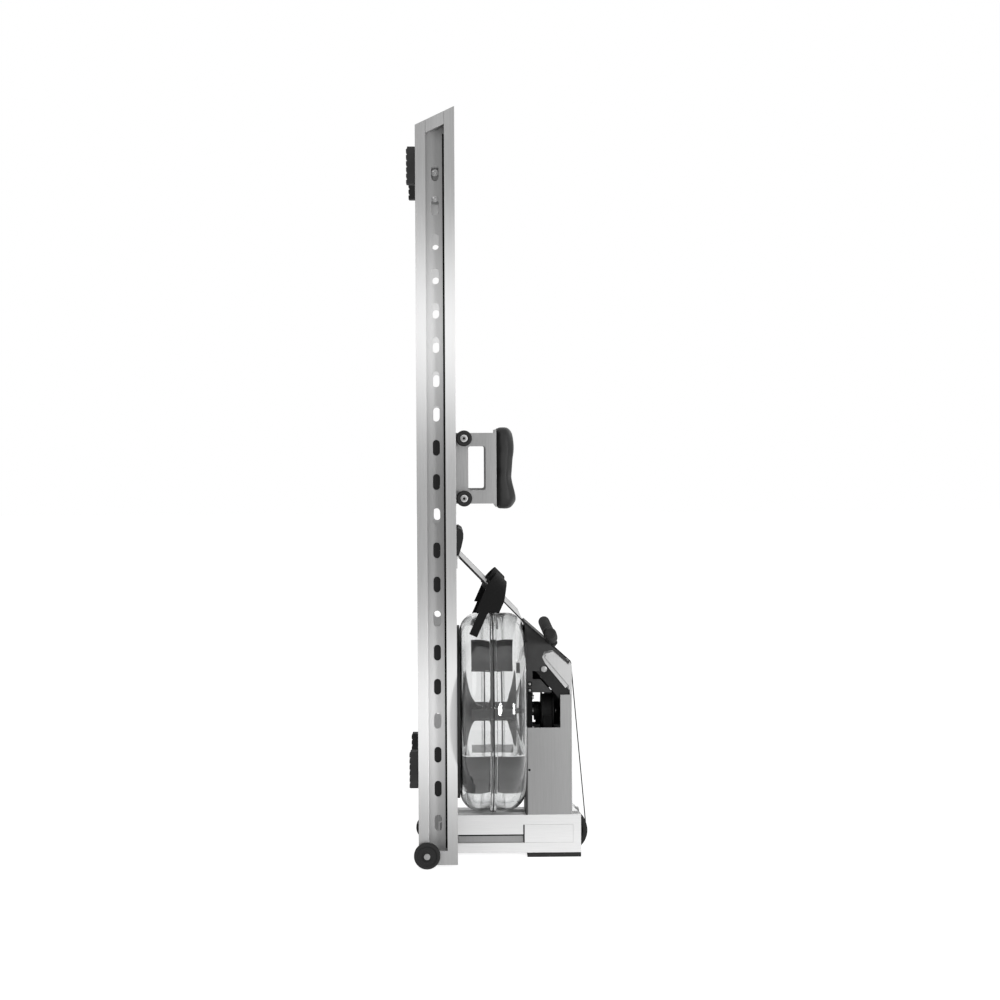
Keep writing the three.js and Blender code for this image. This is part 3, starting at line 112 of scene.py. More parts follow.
def aimCamera(c):
    yaw, pitch, roll = math.radians(c["yaw"]), math.radians(c["pitch"]), c["roll"]
    forward = Vector((math.sin(yaw) * math.cos(pitch), math.cos(yaw) * math.cos(pitch), -math.sin(pitch)))
    level = forward.cross(Vector((0, 0, 1))).normalized()
    upright = level.cross(forward)
    right = math.cos(roll) * level + math.sin(roll) * upright
    up = math.cos(roll) * upright - math.sin(roll) * level
    lens = bpy.data.cameras.new("camera")
    lens.lens = c["lens"]
    lens.sensor_width = 36
    eye = linked("camera", lens)
    turn = Matrix((right, up, -forward)).transposed().to_4x4()
    eye.matrix_world = Matrix.Translation(c["place"]) @ turn
    bpy.context.scene.camera = eye


aimCamera(camera)


# ---- meshes from arrays

def gridFaces(rows, columns):
    # four-cornered faces between neighbouring rings of a grid of points, each ring closed round
    row, column = np.indices((rows - 1, columns)).reshape(2, -1)
    onward = (column + 1) % columns
    return np.stack([row * columns + column, row * columns + onward,
        (row + 1) * columns + onward, (row + 1) * columns + column], 1).tolist()


def endFaces(rows, columns):
    # one face over the first ring and one over the last
    last = (rows - 1) * columns
    return [list(range(columns)), list(range(last + columns - 1, last - 1, -1))]


def smoothed(mesh, sharp):
    # smooth shading, with the edges past the angle sharp
    mesh.polygons.foreach_set("use_smooth", np.ones(len(mesh.polygons), bool))
    mesh.set_sharp_from_angle(angle=math.radians(sharp))
    mesh.update()


def putMesh(name, points, faces, sharp, uv=None):
    # faces turned outwards. A mesh without a UV, which is a place in metres for each point, has its
    # doubles merged and its faces with no area taken out
    mesh = bpy.data.meshes.new(name)
    mesh.from_pydata(metres(points).tolist(), [], faces)
    if uv is not None:
        corner = np.zeros(len(mesh.loops), np.int32)
        mesh.loops.foreach_get("vertex_index", corner)
        layer = mesh.uv_layers.new(name="band")
        layer.data.foreach_set("uv", uv[corner].astype(np.float32).ravel())
    form = bmesh.new()
    form.from_mesh(mesh)
    if uv is None:
        bmesh.ops.remove_doubles(form, verts=form.verts, dist=2e-6)
        bmesh.ops.dissolve_degenerate(form, edges=form.edges, dist=1e-7)
    bmesh.ops.recalc_face_normals(form, faces=form.faces)
    form.to_mesh(mesh)
    form.free()
    smoothed(mesh, sharp)
    return linked(name, mesh)


def wear(piece, material, body, *nodes, slot=None):
    # the piece gets its material, rides on its body and stands for the nodes it shows
    piece.data.materials.clear()
    piece.data.materials.append(material)
    if body:
        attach(piece, body)
    if nodes:
        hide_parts(*nodes)
    return piece


def dressed(name, material, bevel):
    # a merged copy of a node's mesh with its edges broken by a bevel, in place of the node
    source = frame["nodes"][name]
    mesh = source.data.copy()
    form = bmesh.new()
    form.from_mesh(mesh)
    bmesh.ops.remove_doubles(form, verts=form.verts, dist=2e-6)
    bmesh.ops.dissolve_limit(form, angle_limit=math.radians(1.0), verts=form.verts, edges=form.edges)
    form.to_mesh(mesh)
    form.free()
    smoothed(mesh, 32)
    piece = linked(name + "_dressed", mesh)
    edge = piece.modifiers.new("edges", "BEVEL")
    edge.width = bevel / 1000
    edge.segments = 2
    edge.limit_method = "ANGLE"
    edge.angle_limit = math.radians(28)
    return wear(piece, material, source["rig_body"], name)


def turned(name, shapes, material, body, *nodes, slot=None, sharp=32):
    # several shapes, each (points, faces), as one piece, the later ones' corner numbers moved up
    allPoints, allFaces, count = [], [], 0
    for points, faces in shapes:
        allPoints.append(points)
        allFaces += [[corner + count for corner in face] for face in faces]
        count += len(points)
    piece = putMesh(name, np.concatenate(allPoints), allFaces, sharp)
    return wear(piece, material, body, *nodes, slot=slot)


def revolved(profile, centre, axis, steps):
    # each profile point (radius r, place s) goes round the axis:
    # centre + axis * s + r * (cos t * side + sin t * across)
    axis = unit(np.asarray(axis, float))
    side = unit(np.cross(axis, [0, 0, 1] if abs(axis[2]) < 0.9 else [1, 0, 0]))
    across = np.cross(axis, side)
    radius, place = np.asarray(profile, float).T[:, :, None, None]
    t = np.linspace(0, 2 * np.pi, steps, endpoint=False)[:, None]
    points = np.asarray(centre, float) + place * axis + radius * (np.cos(t) * side + np.sin(t) * across)
    return points.reshape(-1, 3), gridFaces(len(profile), steps)


def lathed(name, profile, centre, axis, steps, *worn, **options):
    return turned(name, [revolved(profile, centre, axis, steps)], *worn, **options)


def rounded(corners, reach, steps=4, closed=True):
    # each corner is replaced by a curve b(u) = (1-u)^2 from + 2u(1-u) corner + u^2 to,
    # from and to lying the reach (or just under half an edge) before and after it
    corners = np.asarray(corners, float)
    reach = np.broadcast_to(np.asarray(reach, float), len(corners))
    ends = []
    for neighbours in (np.roll(corners, 1, 0), np.roll(corners, -1, 0)):
        way = neighbours - corners
        length = np.linalg.norm(way, axis=1)
        ends.append((corners + way * (np.minimum(reach, length * 0.48) / length)[:, None])[:, None])
    u = np.linspace(0, 1, steps)[None, :, None]
    curve = (1 - u) ** 2 * ends[0] + 2 * u * (1 - u) * corners[:, None] + u ** 2 * ends[1]
    if not closed:
        curve[0], curve[-1] = corners[0], corners[-1]
    return curve.reshape(-1, corners.shape[1])


def mirrored(half):
    # one half of a turned profile, and the same again on the other side of its middle
    return half + [(radius, -place) for radius, place in reversed(half)]


def rod(radius, low, high, soft):
    # the profile of a plain rod with rounded rims
    corners = [(0, low), (radius, low), (radius, high), (0, high)]
    return rounded(corners, [0, soft, soft, 0], closed=False)


def headedPin(radius, end):
    # the profile of a pin with a head on each end
    half = [(0, -end - pinHead["depth"]), (pinHead["radius"], -end - pinHead["depth"]),
        (pinHead["radius"], -end), (radius, -end)]
    return rounded(mirrored(half), [0, 2, 0.4, 0.3, 0.3, 0.4, 2, 0], closed=False)


pinHead = dict(radius=9, depth=5)


def slab(outline, low, high, plane="xz"):
    # an outline in two directions, carried straight along the third from low to high
    first, second, third = (0, 2, 1) if plane == "xz" else (1, 2, 0)
    points = np.zeros((2, len(outline), 3))
    points[:, :, [first, second]] = outline
    points[0, :, third], points[1, :, third] = low, high
    return points.reshape(-1, 3), gridFaces(2, len(outline)) + endFaces(2, len(outline))


def carried(path, sides, tops, section):
    # at each point of the path the section's (a, b) becomes point + a * side + b * top
    path, sides, tops = [np.asarray(part, float)[:, None] for part in (path, sides, tops)]
    section = np.broadcast_to(section, (len(path), *np.shape(section)[-2:]))
    points = path + section[:, :, :1] * sides + section[:, :, 1:] * tops
    rings = points.shape[:2]
    return points.reshape(-1, 3), gridFaces(*rings) + endFaces(*rings)


# ---- shader groups shared by the materials

def node(tree, kind, inputs=None, **settings):
    made = tree.nodes.new("ShaderNode" + kind)
    for label, value in settings.items():
        setattr(made, label, value)
    for label, value in (inputs or {}).items():
        socket = made.inputs[label]
        if isinstance(value, bpy.types.NodeSocket):
            tree.links.new(value, socket)
        else:
            socket.default_value = value
    return made


def maths(tree, operation, *values):
    return node(tree, "Math", dict(enumerate(values)), operation=operation).outputs[0]


def noise(tree, vector, scale, detail, roughness=0.5):
    return node(tree, "TexNoise", {"Vector": vector, "Scale": scale, "Detail": detail,
        "Roughness": roughness}).outputs["Fac"]


def spread(tree, value, low, high, start=0.25, end=0.75):
    return node(tree, "MapRange", {"Value": value, "From Min": start, "From Max": end,
        "To Min": low, "To Max": high}).outputs["Result"]


def newGroup(name, outputs, **inputs):
    # a group that takes a vector and the named numbers
    tree = bpy.data.node_groups.new(name, "ShaderNodeTree")
    tree.interface.new_socket(name="Vector", in_out="INPUT", socket_type="NodeSocketVector")
    for label, value in inputs.items():
        made = tree.interface.new_socket(name=label, in_out="INPUT", socket_type="NodeSocketFloat")
        made.default_value = value
    for label in outputs:
        tree.interface.new_socket(name=label, in_out="OUTPUT", socket_type="NodeSocketFloat")
    return tree, tree.nodes.new("NodeGroupInput").outputs, tree.nodes.new("NodeGroupOutput").inputs


def brushedGroup():
    # long fine scratches: noise squeezed across the grain and drawn out along it, on a cloudy tone
    tree, given, out = newGroup("brushedGrain", ("Tone", "Height"), Across=900.0, Cloud=5.0)
    fine = noise(tree, given["Vector"], given["Across"], 3.0, 0.6)
    cloud = noise(tree, given["Vector"], given["Cloud"], 2.0)
    scratches = maths(tree, "MULTIPLY", fine, 0.45)
    tree.links.new(maths(tree, "MULTIPLY_ADD", cloud, 0.55, scratches), out["Tone"])
    tree.links.new(fine, out["Height"])
    return tree


def mouldedGroup():
    # the pebbled skin of a moulded part: small rounded cells over a slow swell
    tree, given, out = newGroup("mouldedGrain", ("Height", "Tone"), Size=900.0)
    cells = node(tree, "TexVoronoi", {"Vector": given["Vector"], "Scale": given["Size"]},
        feature="SMOOTH_F1")
    tree.links.new(cells.outputs["Distance"], out["Height"])
    tree.links.new(noise(tree, given["Vector"], 22.0, 4.0), out["Tone"])
    return tree


def wearGroup():
    # where the rounded normal leaves the true one an edge is near; noise breaks the mask up
    tree, given, out = newGroup("edgeWear", ("Mask",), Reach=0.0015, Amount=0.5)
    soft = node(tree, "Bevel", {"Radius": given["Reach"]}, samples=3).outputs["Normal"]
    true = node(tree, "NewGeometry").outputs["Normal"]
    likeness = node(tree, "VectorMath", {0: soft, 1: true}, operation="DOT_PRODUCT").outputs["Value"]
    edge = spread(tree, likeness, 0.0, 1.0, 0.985, 0.8)
    broken = spread(tree, noise(tree, given["Vector"], 90.0, 3.0), 0.0, 1.0, 0.4, 0.62)
    mask = maths(tree, "MULTIPLY", edge, broken)
    tree.links.new(maths(tree, "MULTIPLY", mask, given["Amount"]), out["Mask"])
    return tree


def weaveGroup():
    # webbing on its own UV in metres: ribs across the band, broken by the warp threads along it
    tree, given, out = newGroup("webbingWeave", ("Height", "Tone"), Rib=0.0016, Thread=0.0013)
    parts = node(tree, "SeparateXYZ", {0: given["Vector"]}).outputs
    waves = []
    for label, size in (("X", "Rib"), ("Y", "Thread")):
        turns = maths(tree, "DIVIDE", parts[label], given[size])
        waves.append(maths(tree, "SINE", maths(tree, "MULTIPLY", turns, 2 * math.pi)))
    product = maths(tree, "MULTIPLY", *waves)
    tree.links.new(maths(tree, "MULTIPLY_ADD", product, 0.5, 0.5), out["Height"])
    tree.links.new(noise(tree, given["Vector"], 240.0, 3.0), out["Tone"])
    return tree


groups = dict(brushed=brushedGroup(), moulded=mouldedGroup(), wear=wearGroup(), weave=weaveGroup())


# ---- materials

def placed(tree, group, **values):
    return node(tree, "Group", values, node_tree=groups[group]).outputs


def newMaterial(name, **shaderValues):
    material = bpy.data.materials.new(name)
    material.use_nodes = True
    tree = material.node_tree
    shader = tree.nodes["Principled BSDF"]
    for label, value in shaderValues.items():
        shader.inputs[label.replace("_", " ")].default_value = value
    return material, tree, shader


def objectPlace(tree, scale=(1, 1, 1)):
    # object coordinates, plain and stretched
    plain = node(tree, "TexCoord").outputs["Object"]
    return plain, node(tree, "Mapping", {"Vector": plain, "Scale": scale}).outputs["Vector"]


def ramp(tree, value, low, high):
    made = node(tree, "ValToRGB", {"Fac": value})
    for element, place, tone in zip(made.color_ramp.elements, (0.3, 0.7), (low, high)):
        element.position = place
        element.color = grey(tone)
    return made.outputs["Color"]


def mixed(tree, factor, first, second):
    return node(tree, "Mix", {"Factor": factor, 6: first, 7: second}, data_type="RGBA").outputs[2]


def bumped(tree, shader, height, strength, distance):
    bump = node(tree, "Bump", {"Height": height, "Strength": strength, "Distance": distance})
    tree.links.new(bump.outputs["Normal"], shader.inputs["Normal"])


def surfaced(tree, shader, colour, grain, roughness, strength, distance):
    # the colour, with the roughness after the grain's tone and the bump after its height
    tree.links.new(colour, shader.inputs["Base Color"])
    tree.links.new(spread(tree, grain["Tone"], *roughness), shader.inputs["Roughness"])
    bumped(tree, shader, grain["Height"], strength, distance)


def shownBy(tree, share, first, second):
    # the surface is the first shader, and by the share the second
    choice = node(tree, "MixShader", {0: share, 1: first.outputs[0], 2: second.outputs[0]})
    tree.links.new(choice.outputs[0], tree.nodes["Material Output"].inputs["Surface"])


# a brushed metal; where a swell is given it adds painted reflection, pale bands along the grain
def brushedMetal(name, low, high, along, roughness=(0.34, 0.5), metallic=0.9, wornTo=235, amount=0.35,
        swell=None):
    material, tree, shader = newMaterial(name, Metallic=metallic)
    squeeze = [1.0, 1.0, 1.0]
    squeeze[along] = 0.012
    plain, stretched = objectPlace(tree, squeeze)
    grain = placed(tree, "brushed", Vector=stretched, Across=1100.0, Cloud=7.0)
    colour = ramp(tree, grain["Tone"], low, high)
    if swell:
        # painted reflection: the drawn section is mixed towards a pale grey in slow bands along it: (0.45 +
        # 0.45 cosine of its place) ^ 1.5
        place = node(tree, "SeparateXYZ", {0: plain}).outputs["XYZ"[along]]
        turn = 2 * math.pi / swell["length"]
        paintedReflectionWave = maths(tree, "COSINE", maths(tree, "MULTIPLY_ADD", place, turn, -turn * swell["top"]))
        share = maths(tree, "POWER", maths(tree, "MULTIPLY_ADD", paintedReflectionWave, 0.45, 0.45), 1.5)
        colour = mixed(tree, share, colour, grey(swell["pale"]))
    worn = placed(tree, "wear", Vector=plain, Reach=0.0012, Amount=amount)["Mask"]
    surfaced(tree, shader, mixed(tree, worn, colour, grey(wornTo)), grain, roughness, 0.06, 0.0004)
    return material


def mouldedPlastic(name, low, high, roughness=(0.42, 0.55), size=1000.0, wornTo=120, amount=0.25,
        depth=0.1, gloss=0.5):
    material, tree, shader = newMaterial(name, Specular_IOR_Level=gloss)
    plain, same = objectPlace(tree)
    skin = placed(tree, "moulded", Vector=same, Size=size)
    worn = placed(tree, "wear", Vector=plain, Reach=0.001, Amount=amount)["Mask"]
    colour = mixed(tree, worn, ramp(tree, skin["Tone"], low, high), grey(wornTo))
    surfaced(tree, shader, colour, skin, roughness, depth, 0.0003)
    return material


def wovenBand(name, low, high):
    material, tree, shader = newMaterial(name, Specular_IOR_Level=0.1, Sheen_Weight=0.05)
    band = node(tree, "UVMap", uv_map="band").outputs["UV"]
    weave = placed(tree, "weave", Vector=band, Rib=0.0026, Thread=0.0021)
    colour = mixed(tree, weave["Height"], grey(low), grey(high))
    surfaced(tree, shader, colour, weave, (0.72, 0.92), 0.5, 0.0004)
    return material


def seatSkin():
    # close-grained upholstery: fine pebbles, slow wrinkles and a soft sheen
    material, tree, shader = newMaterial("seatSkin", Specular_IOR_Level=0.25, Sheen_Weight=0.06,
        Sheen_Roughness=0.5)
    skin = placed(tree, "moulded", Vector=objectPlace(tree)[1], Size=420.0)
    surfaced(tree, shader, ramp(tree, skin["Tone"], 38, 50), skin, (0.45, 0.62), 0.22, 0.0006)
    return material


def clearBody(name, bend, roughness, tone, shade, ripple, depth):
    # glass for what the camera sees, where shadow and diffuse rays pass straight through, a little
    # shaded. The ripple is the scale and the detail of its noise
    tint, through = [(value, value + 0.005, value + 0.005, 1) for value in (tone, shade)]
    material, tree, shader = newMaterial(name, Roughness=roughness, IOR=bend, Transmission_Weight=1.0,
        Base_Color=tint)
    bumped(tree, shader, noise(tree, objectPlace(tree)[1], *ripple), depth, 0.004)
    path = node(tree, "LightPath").outputs
    either = maths(tree, "MAXIMUM", path["Is Shadow Ray"], path["Is Diffuse Ray"])
    shownBy(tree, either, shader, node(tree, "BsdfTransparent", {"Color": through}))
    return material


def screenGlass():
    material, tree, shader = newMaterial("screenGlass", Roughness=0.12, Coat_Weight=0.6)
    cloud = noise(tree, objectPlace(tree)[1], 30.0, 2.0)
    tree.links.new(ramp(tree, cloud, 96, 112), shader.inputs["Base Color"])
    return material


# the rails carry painted reflection in slow pale bands along their length
railMetal = brushedMetal("railMetal", 146, 174, 2, metallic=0.45, amount=0.2,
    swell=dict(length=1.08, top=0.43, pale=240))
postMetal = brushedMetal("postMetal", 214, 232, 0, metallic=0.45, amount=0.2)
boardMetal = brushedMetal("boardMetal", 186, 208, 0, metallic=0.6)
truckMetal = brushedMetal("truckMetal", 124, 168, 2, metallic=0.6)
bridgeSheet = brushedMetal("bridgeSheet", 130, 152, 2, roughness=(0.42, 0.56), metallic=0.55, amount=0.2)
coverSheet = brushedMetal("coverSheet", 152, 178, 2, roughness=(0.4, 0.55), metallic=0.7, amount=0.08)
darkSheet = mouldedPlastic("darkSheet", 48, 60, roughness=(0.46, 0.6), size=1500.0, wornTo=110,
    depth=0.05, gloss=0.3)
boltSteel = brushedMetal("boltSteel", 120, 170, 1, roughness=(0.22, 0.36), metallic=1.0)
blackPlastic = mouldedPlastic("blackPlastic", 24, 34, gloss=0.25)
innerBlack = mouldedPlastic("innerBlack", 9, 16, roughness=(0.6, 0.8), wornTo=40, amount=0.1, gloss=0.15)
paddlePlastic = mouldedPlastic("paddlePlastic", 70, 90, roughness=(0.5, 0.65), wornTo=110, amount=0.2)
hoodPlastic = mouldedPlastic("hoodPlastic", 26, 36, roughness=(0.4, 0.52), wornTo=90, gloss=0.2)
tyreRubber = mouldedPlastic("tyreRubber", 34, 46, roughness=(0.68, 0.85), size=700.0, wornTo=70,
    amount=0.1, gloss=0.3)
footRubber = mouldedPlastic("footRubber", 24, 34, roughness=(0.7, 0.9), size=600.0, wornTo=60, amount=0.1)
gripRubber = mouldedPlastic("gripRubber", 40, 54, roughness=(0.6, 0.8), size=500.0, wornTo=80, amount=0.1,
    depth=0.3, gloss=0.3)
hubPlastic = mouldedPlastic("hubPlastic", 214, 230, roughness=(0.35, 0.5), wornTo=235)
# painted light: the black cone plastic, painted a paler grey as it shows lit on the upper cone
litConePlastic = mouldedPlastic("litConePlastic", 108, 126, roughness=(0.45, 0.6), wornTo=150, gloss=0.3)
buttonPlastic = mouldedPlastic("buttonPlastic", 104, 118, roughness=(0.4, 0.5), wornTo=160)
strapWeb = wovenBand("strapWeb", 16, 30)
footWeb = wovenBand("footWeb", 22, 38)
seatCover = seatSkin()
tankWall = clearBody("clearWall", 1.49, 0.03, 0.84, 0.7, (9.0, 2.0), 0.05)
waterBody = clearBody("tankWater", 1.15, 0.0, 0.97, 0.9, (14.0, 3.0), 0.1)
screenFace = screenGlass()
print("materials made:", len(bpy.data.materials))


# ---- folded sheet, extrusions and moulded parts carried over from the frame

plainNodes = (
    (railMetal, 0.6, "rail_near rail_far rail_rear_cap_near rail_rear_cap_far"),
    (railMetal, 0.6, "rear_cross_member front_cross_member"),
    (postMetal, 0.6, "front_post_near front_post_far"),
    (bridgeSheet, 0.5, "bridge_side_near bridge_side_far"),
    (coverSheet, 0.45, "bridge_cover"),
    (darkSheet, 0.5, "gusset_near gusset_far tank_top_plate"),
    (blackPlastic, 0.8, "handle_deck"),
    (innerBlack, 0.8, "shaft_bearing"),
    (footRubber, 0.9, "rear_foot_near rear_foot_far front_foot_near front_foot_far floor_pad"),
    (boardMetal, 0.5, "footboard"),
    (blackPlastic, 0.9, "heel_slider_near heel_slider_far"),
    (footRubber, 1.5, "seat_stop"),
    (truckMetal, 0.5, "seat_truck"),
    (hoodPlastic, 0.9, "monitor_case"),
    (screenFace, 0.5, "monitor_screen"),
    (paddlePlastic, 0.7, "paddle"),
)
for material, bevel, names in plainNodes:
    for name in names.split():
        dressed(name, material, bevel)
print("folded and moulded pieces dressed")


# ---- wheels, pulley, drum and axles

transport = dict(radius=37, width=23, bore=6.3, x=23.5, y=228, z=37, axle=6, play=0.3)


def wheelProfile(s):
    # tyre with a round shoulder over a dished hub
    r, w, bore = s["radius"], s["width"] / 2, s["bore"]
    face = [(bore, w), (r * 0.34, w), (r * 0.42, w * 0.7), (r * 0.7, w * 0.7), (r * 0.76, w),
        (r * 0.94, w), (r, w * 0.6)]
    return rounded(mirrored(face), 1.6, 5)


for side, sideName in bothSides:
    name = "transport_wheel_" + sideName
    lathed(name + "_tyre", wheelProfile(transport), (transport["x"], side * transport["y"], transport["z"]),
        alongY, 112, tyreRubber, name, name)
axleEnd = transport["y"] + transport["width"] / 2 + transport["play"]
lathed("transport_axle_turned", headedPin(transport["axle"], axleEnd), (transport["x"], 0, transport["z"]),
    alongY, 64, boltSteel, "frame", "transport_axle")

pulley = dict(x=424.7, z=68, radius=58, flange=5, width=34, groove=13, rim=9, web=4, hub=14, bore=6.3,
    axle=6, axleEnd=28)


def pulleyProfile(p):
    half, inner, outer = p["width"] / 2, p["radius"] - p["rim"], p["radius"] + p["flange"]
    face = [(p["bore"], half), (p["hub"], half), (p["hub"], p["web"]), (inner, p["web"]), (inner, half),
        (outer, half), (p["radius"], p["groove"])]
    return rounded(mirrored(face), 0.9)


pulleyCentre = (pulley["x"], 0, pulley["z"])
lathed("front_pulley_turned", pulleyProfile(pulley), pulleyCentre, alongY, 128, blackPlastic, "pulley",
    "front_pulley")
lathed("front_pulley_axle_turned", rod(pulley["axle"], -pulley["axleEnd"], pulley["axleEnd"], 0.8),
    pulleyCentre, alongY, 48, boltSteel, "frame", "front_pulley_axle")

tank = dict(low=118.5, high=305.5, z=415, radius=286, wall=4, corner=52, dish=118, hub=12, reach=77,
    flange=5, flangeDepth=7, middle=212, seam=91.7, gasket=3, water=322, disc=250,
    discLow=110.3, discHigh=118.2)
drum = dict(x=371.1, bore=8.3, radius=50, flange=56, half=14, rim=4, hub=14, spool=27, spoolWidth=14, gap=6)
shaft = dict(radius=8, below=16.2, above=27)


def drumProfile(d):
    # the recoil spool, the drum between its flanges, and the end of the hub
    bore, hub, flange, half = [d[key] for key in ("bore", "hub", "flange", "half")]
    edge = half + d["rim"]
    end = edge + d["gap"]
    spool = [(bore, -end - d["spoolWidth"]), (d["spool"], -end - d["spoolWidth"]), (d["spool"], -end),
        (hub, -end)]
    middle = mirrored([(hub, -edge), (flange, -edge), (flange, -half), (d["radius"], -half)])
    return rounded(spool + middle + [(hub, end), (bore, end)], 0.8)


lathed("drive_drum_turned", drumProfile(drum), (drum["x"], 0, tank["z"]), alongX, 128, innerBlack, "drum",
    "drive_drum")
shaftEnds = (tank["middle"] - shaft["below"], drum["x"] + shaft["above"])
lathed("paddle_shaft_turned", rod(shaft["radius"], *shaftEnds, 1.2), (0, 0, tank["z"]), alongX, 64,
    boltSteel, "paddle", "paddle_shaft")

seatWheel = dict(radius=22.5, width=18, bore=4.5, x=132.8, y=190, hub=10.5,
    places=dict(front=1037.5, rear=1206.5))
for side, sideName in bothSides:
    for endName, z in seatWheel["places"].items():
        r, w, hub, bore = [seatWheel[key] for key in ("radius", "width", "hub", "bore")]
        w /= 2
        spin = ((seatWheel["x"], side * seatWheel["y"], z), alongY, 80)
        name = "seat_wheel_" + endName + "_" + sideName
        tyre = rounded(mirrored([(hub, w * 0.72), (r * 0.86, w), (r, w * 0.5)]), 2.2, 5)
        face = [(bore, w), (hub * 0.62, w), (hub * 0.7, w * 0.72), (hub - 0.1, w * 0.66)]
        core = rounded(mirrored(face), 0.8)
        lathed(name + "_tyre", tyre, *spin, tyreRubber, name, name)
        lathed(name + "_hub", core, *spin, hubPlastic, name, slot="grey_plastic")
print("wheels, pulley, drum and axles turned")


# ---- tank, water, gasket and base disc

def tankProfile(hubPlace, closedHub, steps=26):
    # the dish is a quarter ellipse from the hub out to the flat ring, the corner a quarter circle,
    # and the wall runs back inside it all at its thickness
    t = tank
    turn = np.linspace(0, np.pi / 2, steps)
    s, c = np.sin(turn), np.cos(turn)
    reach, bend = t["dish"] - t["hub"], t["corner"] - t["wall"]
    flatEdge, wall, rim = t["radius"] - t["corner"], t["wall"], t["radius"]
    back = t["seam"] - t["flangeDepth"]
    dishOut = np.stack([t["dish"] - reach * s, hubPlace * (1 - c)], 1)[::-1]
    dishIn = np.stack([t["dish"] - (reach - wall) * s, hubPlace - (hubPlace - wall) * c], 1)[::-1]
    cornerOut = np.stack([flatEdge + t["corner"] * s, t["corner"] * (1 - c)], 1)
    cornerIn = np.stack([flatEdge + bend * s, t["corner"] - bend * c], 1)
    lip = [(rim, back - 1.5), (rim + 1.2, back), (rim + t["flange"] - 0.6, back),
        (rim + t["flange"], back + 0.6), (rim + t["flange"], t["seam"] - 0.4),
        (rim + t["flange"] - 0.4, t["seam"])]
    inside = np.concatenate([dishIn, cornerIn, [(rim - wall, t["seam"])]])
    outside = np.concatenate([dishOut, cornerOut, lip])
    if closedHub:
        inside[0, 1] += wall
        outside = np.concatenate([[(0, hubPlace)], outside])
        inside = np.concatenate([[(0, hubPlace + wall)], inside])
        return np.concatenate([outside, inside[::-1]])
    return np.concatenate([outside, inside[::-1], outside[:1]])


cone = dict(hub=11, reach=107, length=78, skin=2.2, lowerStart=10, upperStart=26, fall=17.5)


def coneProfile(start, steps=28):
    # a trumpet-shaped cover over a dish: r = hub + reach * exp(-(place - start) / fall), from the start
    # to the length, and a skin inside it the same again
    place = np.linspace(start, cone["length"], steps)
    radius = cone["hub"] + cone["reach"] * np.exp(-(place - start) / cone["fall"])
    outside = np.stack([radius, place], 1)
    return np.concatenate([outside, (outside - cone["skin"])[::-1], outside[:1]])


def waterShape(t, gap=0.6, steps=40):
    # at each x the water fills the circle of the tank's inner radius R(x) below the level:
    # round the arc (R sin a, -R cos a), and back along the level line
    low, high = t["low"] + t["wall"] + gap, t["high"] - t["wall"] - gap
    bend = t["corner"] - t["wall"] - gap
    x = low + (high - low) * (1 - np.cos(np.linspace(0, np.pi, steps))) / 2
    edge = np.minimum(np.minimum(x - low, high - x), bend)
    radius = t["radius"] - t["corner"] + np.sqrt(np.maximum(bend ** 2 - (bend - edge) ** 2, 0))
    x, radius = x[:, None], radius[:, None]
    limit = np.arccos((t["z"] - t["water"]) / radius)
    a = np.linspace(-1, 1, 56) * limit
    arc = np.stack([x + 0 * a, radius * np.sin(a), t["z"] - radius * np.cos(a)], -1)
    b = radius * np.sin(limit) * np.linspace(1, -1, 24)[1:-1]
    level = np.stack([x + 0 * b, b, t["water"] + 0 * b], -1)
    rings = np.concatenate([arc, level], 1)
    return rings.reshape(-1, 3), gridFaces(*rings.shape[:2]) + endFaces(*rings.shape[:2])


plug = dict(place=(305.5, 150, 525), ribs=18, ribCircle=21.4, ribHalf=1.2, ribStart=1.1, ribEnd=8.1)


def plugShape(p):
    # a stepped cap, with square ribs round its rim
    x, y, z = p["place"]
    cap = revolved(rounded([(0, -12), (16, -12), (16, 0.3), (22, 0.3), (22, 9), (8, 9), (7, 6.5), (0, 6.5)],
        [0, 0.8, 0.3, 0.6, 1.6, 0.8, 0.6, 0], closed=False), p["place"], alongX, 72)
    square = squareCorners * p["ribHalf"]
    angles = np.arange(p["ribs"]) * 2 * np.pi / p["ribs"]
    middles = np.stack([y + p["ribCircle"] * np.cos(angles), z + p["ribCircle"] * np.sin(angles)], 1)
    return [cap] + [slab(rounded(middle + square, 1, 3), x + p["ribStart"], x + p["ribEnd"], "yz")
        for middle in middles]


tankLow = ((tank["low"], 0, tank["z"]), alongX)
tankHigh = ((tank["high"], 0, tank["z"]), againstX)
lathed("tank_lower_shell_turned", tankProfile(tank["reach"] - tank["wall"], True), *tankLow, 180, tankWall,
    "frame", "tank_lower_shell", sharp=40)
lathed("tank_upper_shell_turned", tankProfile(tank["reach"], False), *tankHigh, 180, tankWall,
    "frame", "tank_upper_shell", sharp=40)
lathed("tank_cone_lower", coneProfile(cone["lowerStart"]), *tankLow, 120, blackPlastic, "frame",
    slot="black_plastic", sharp=40)
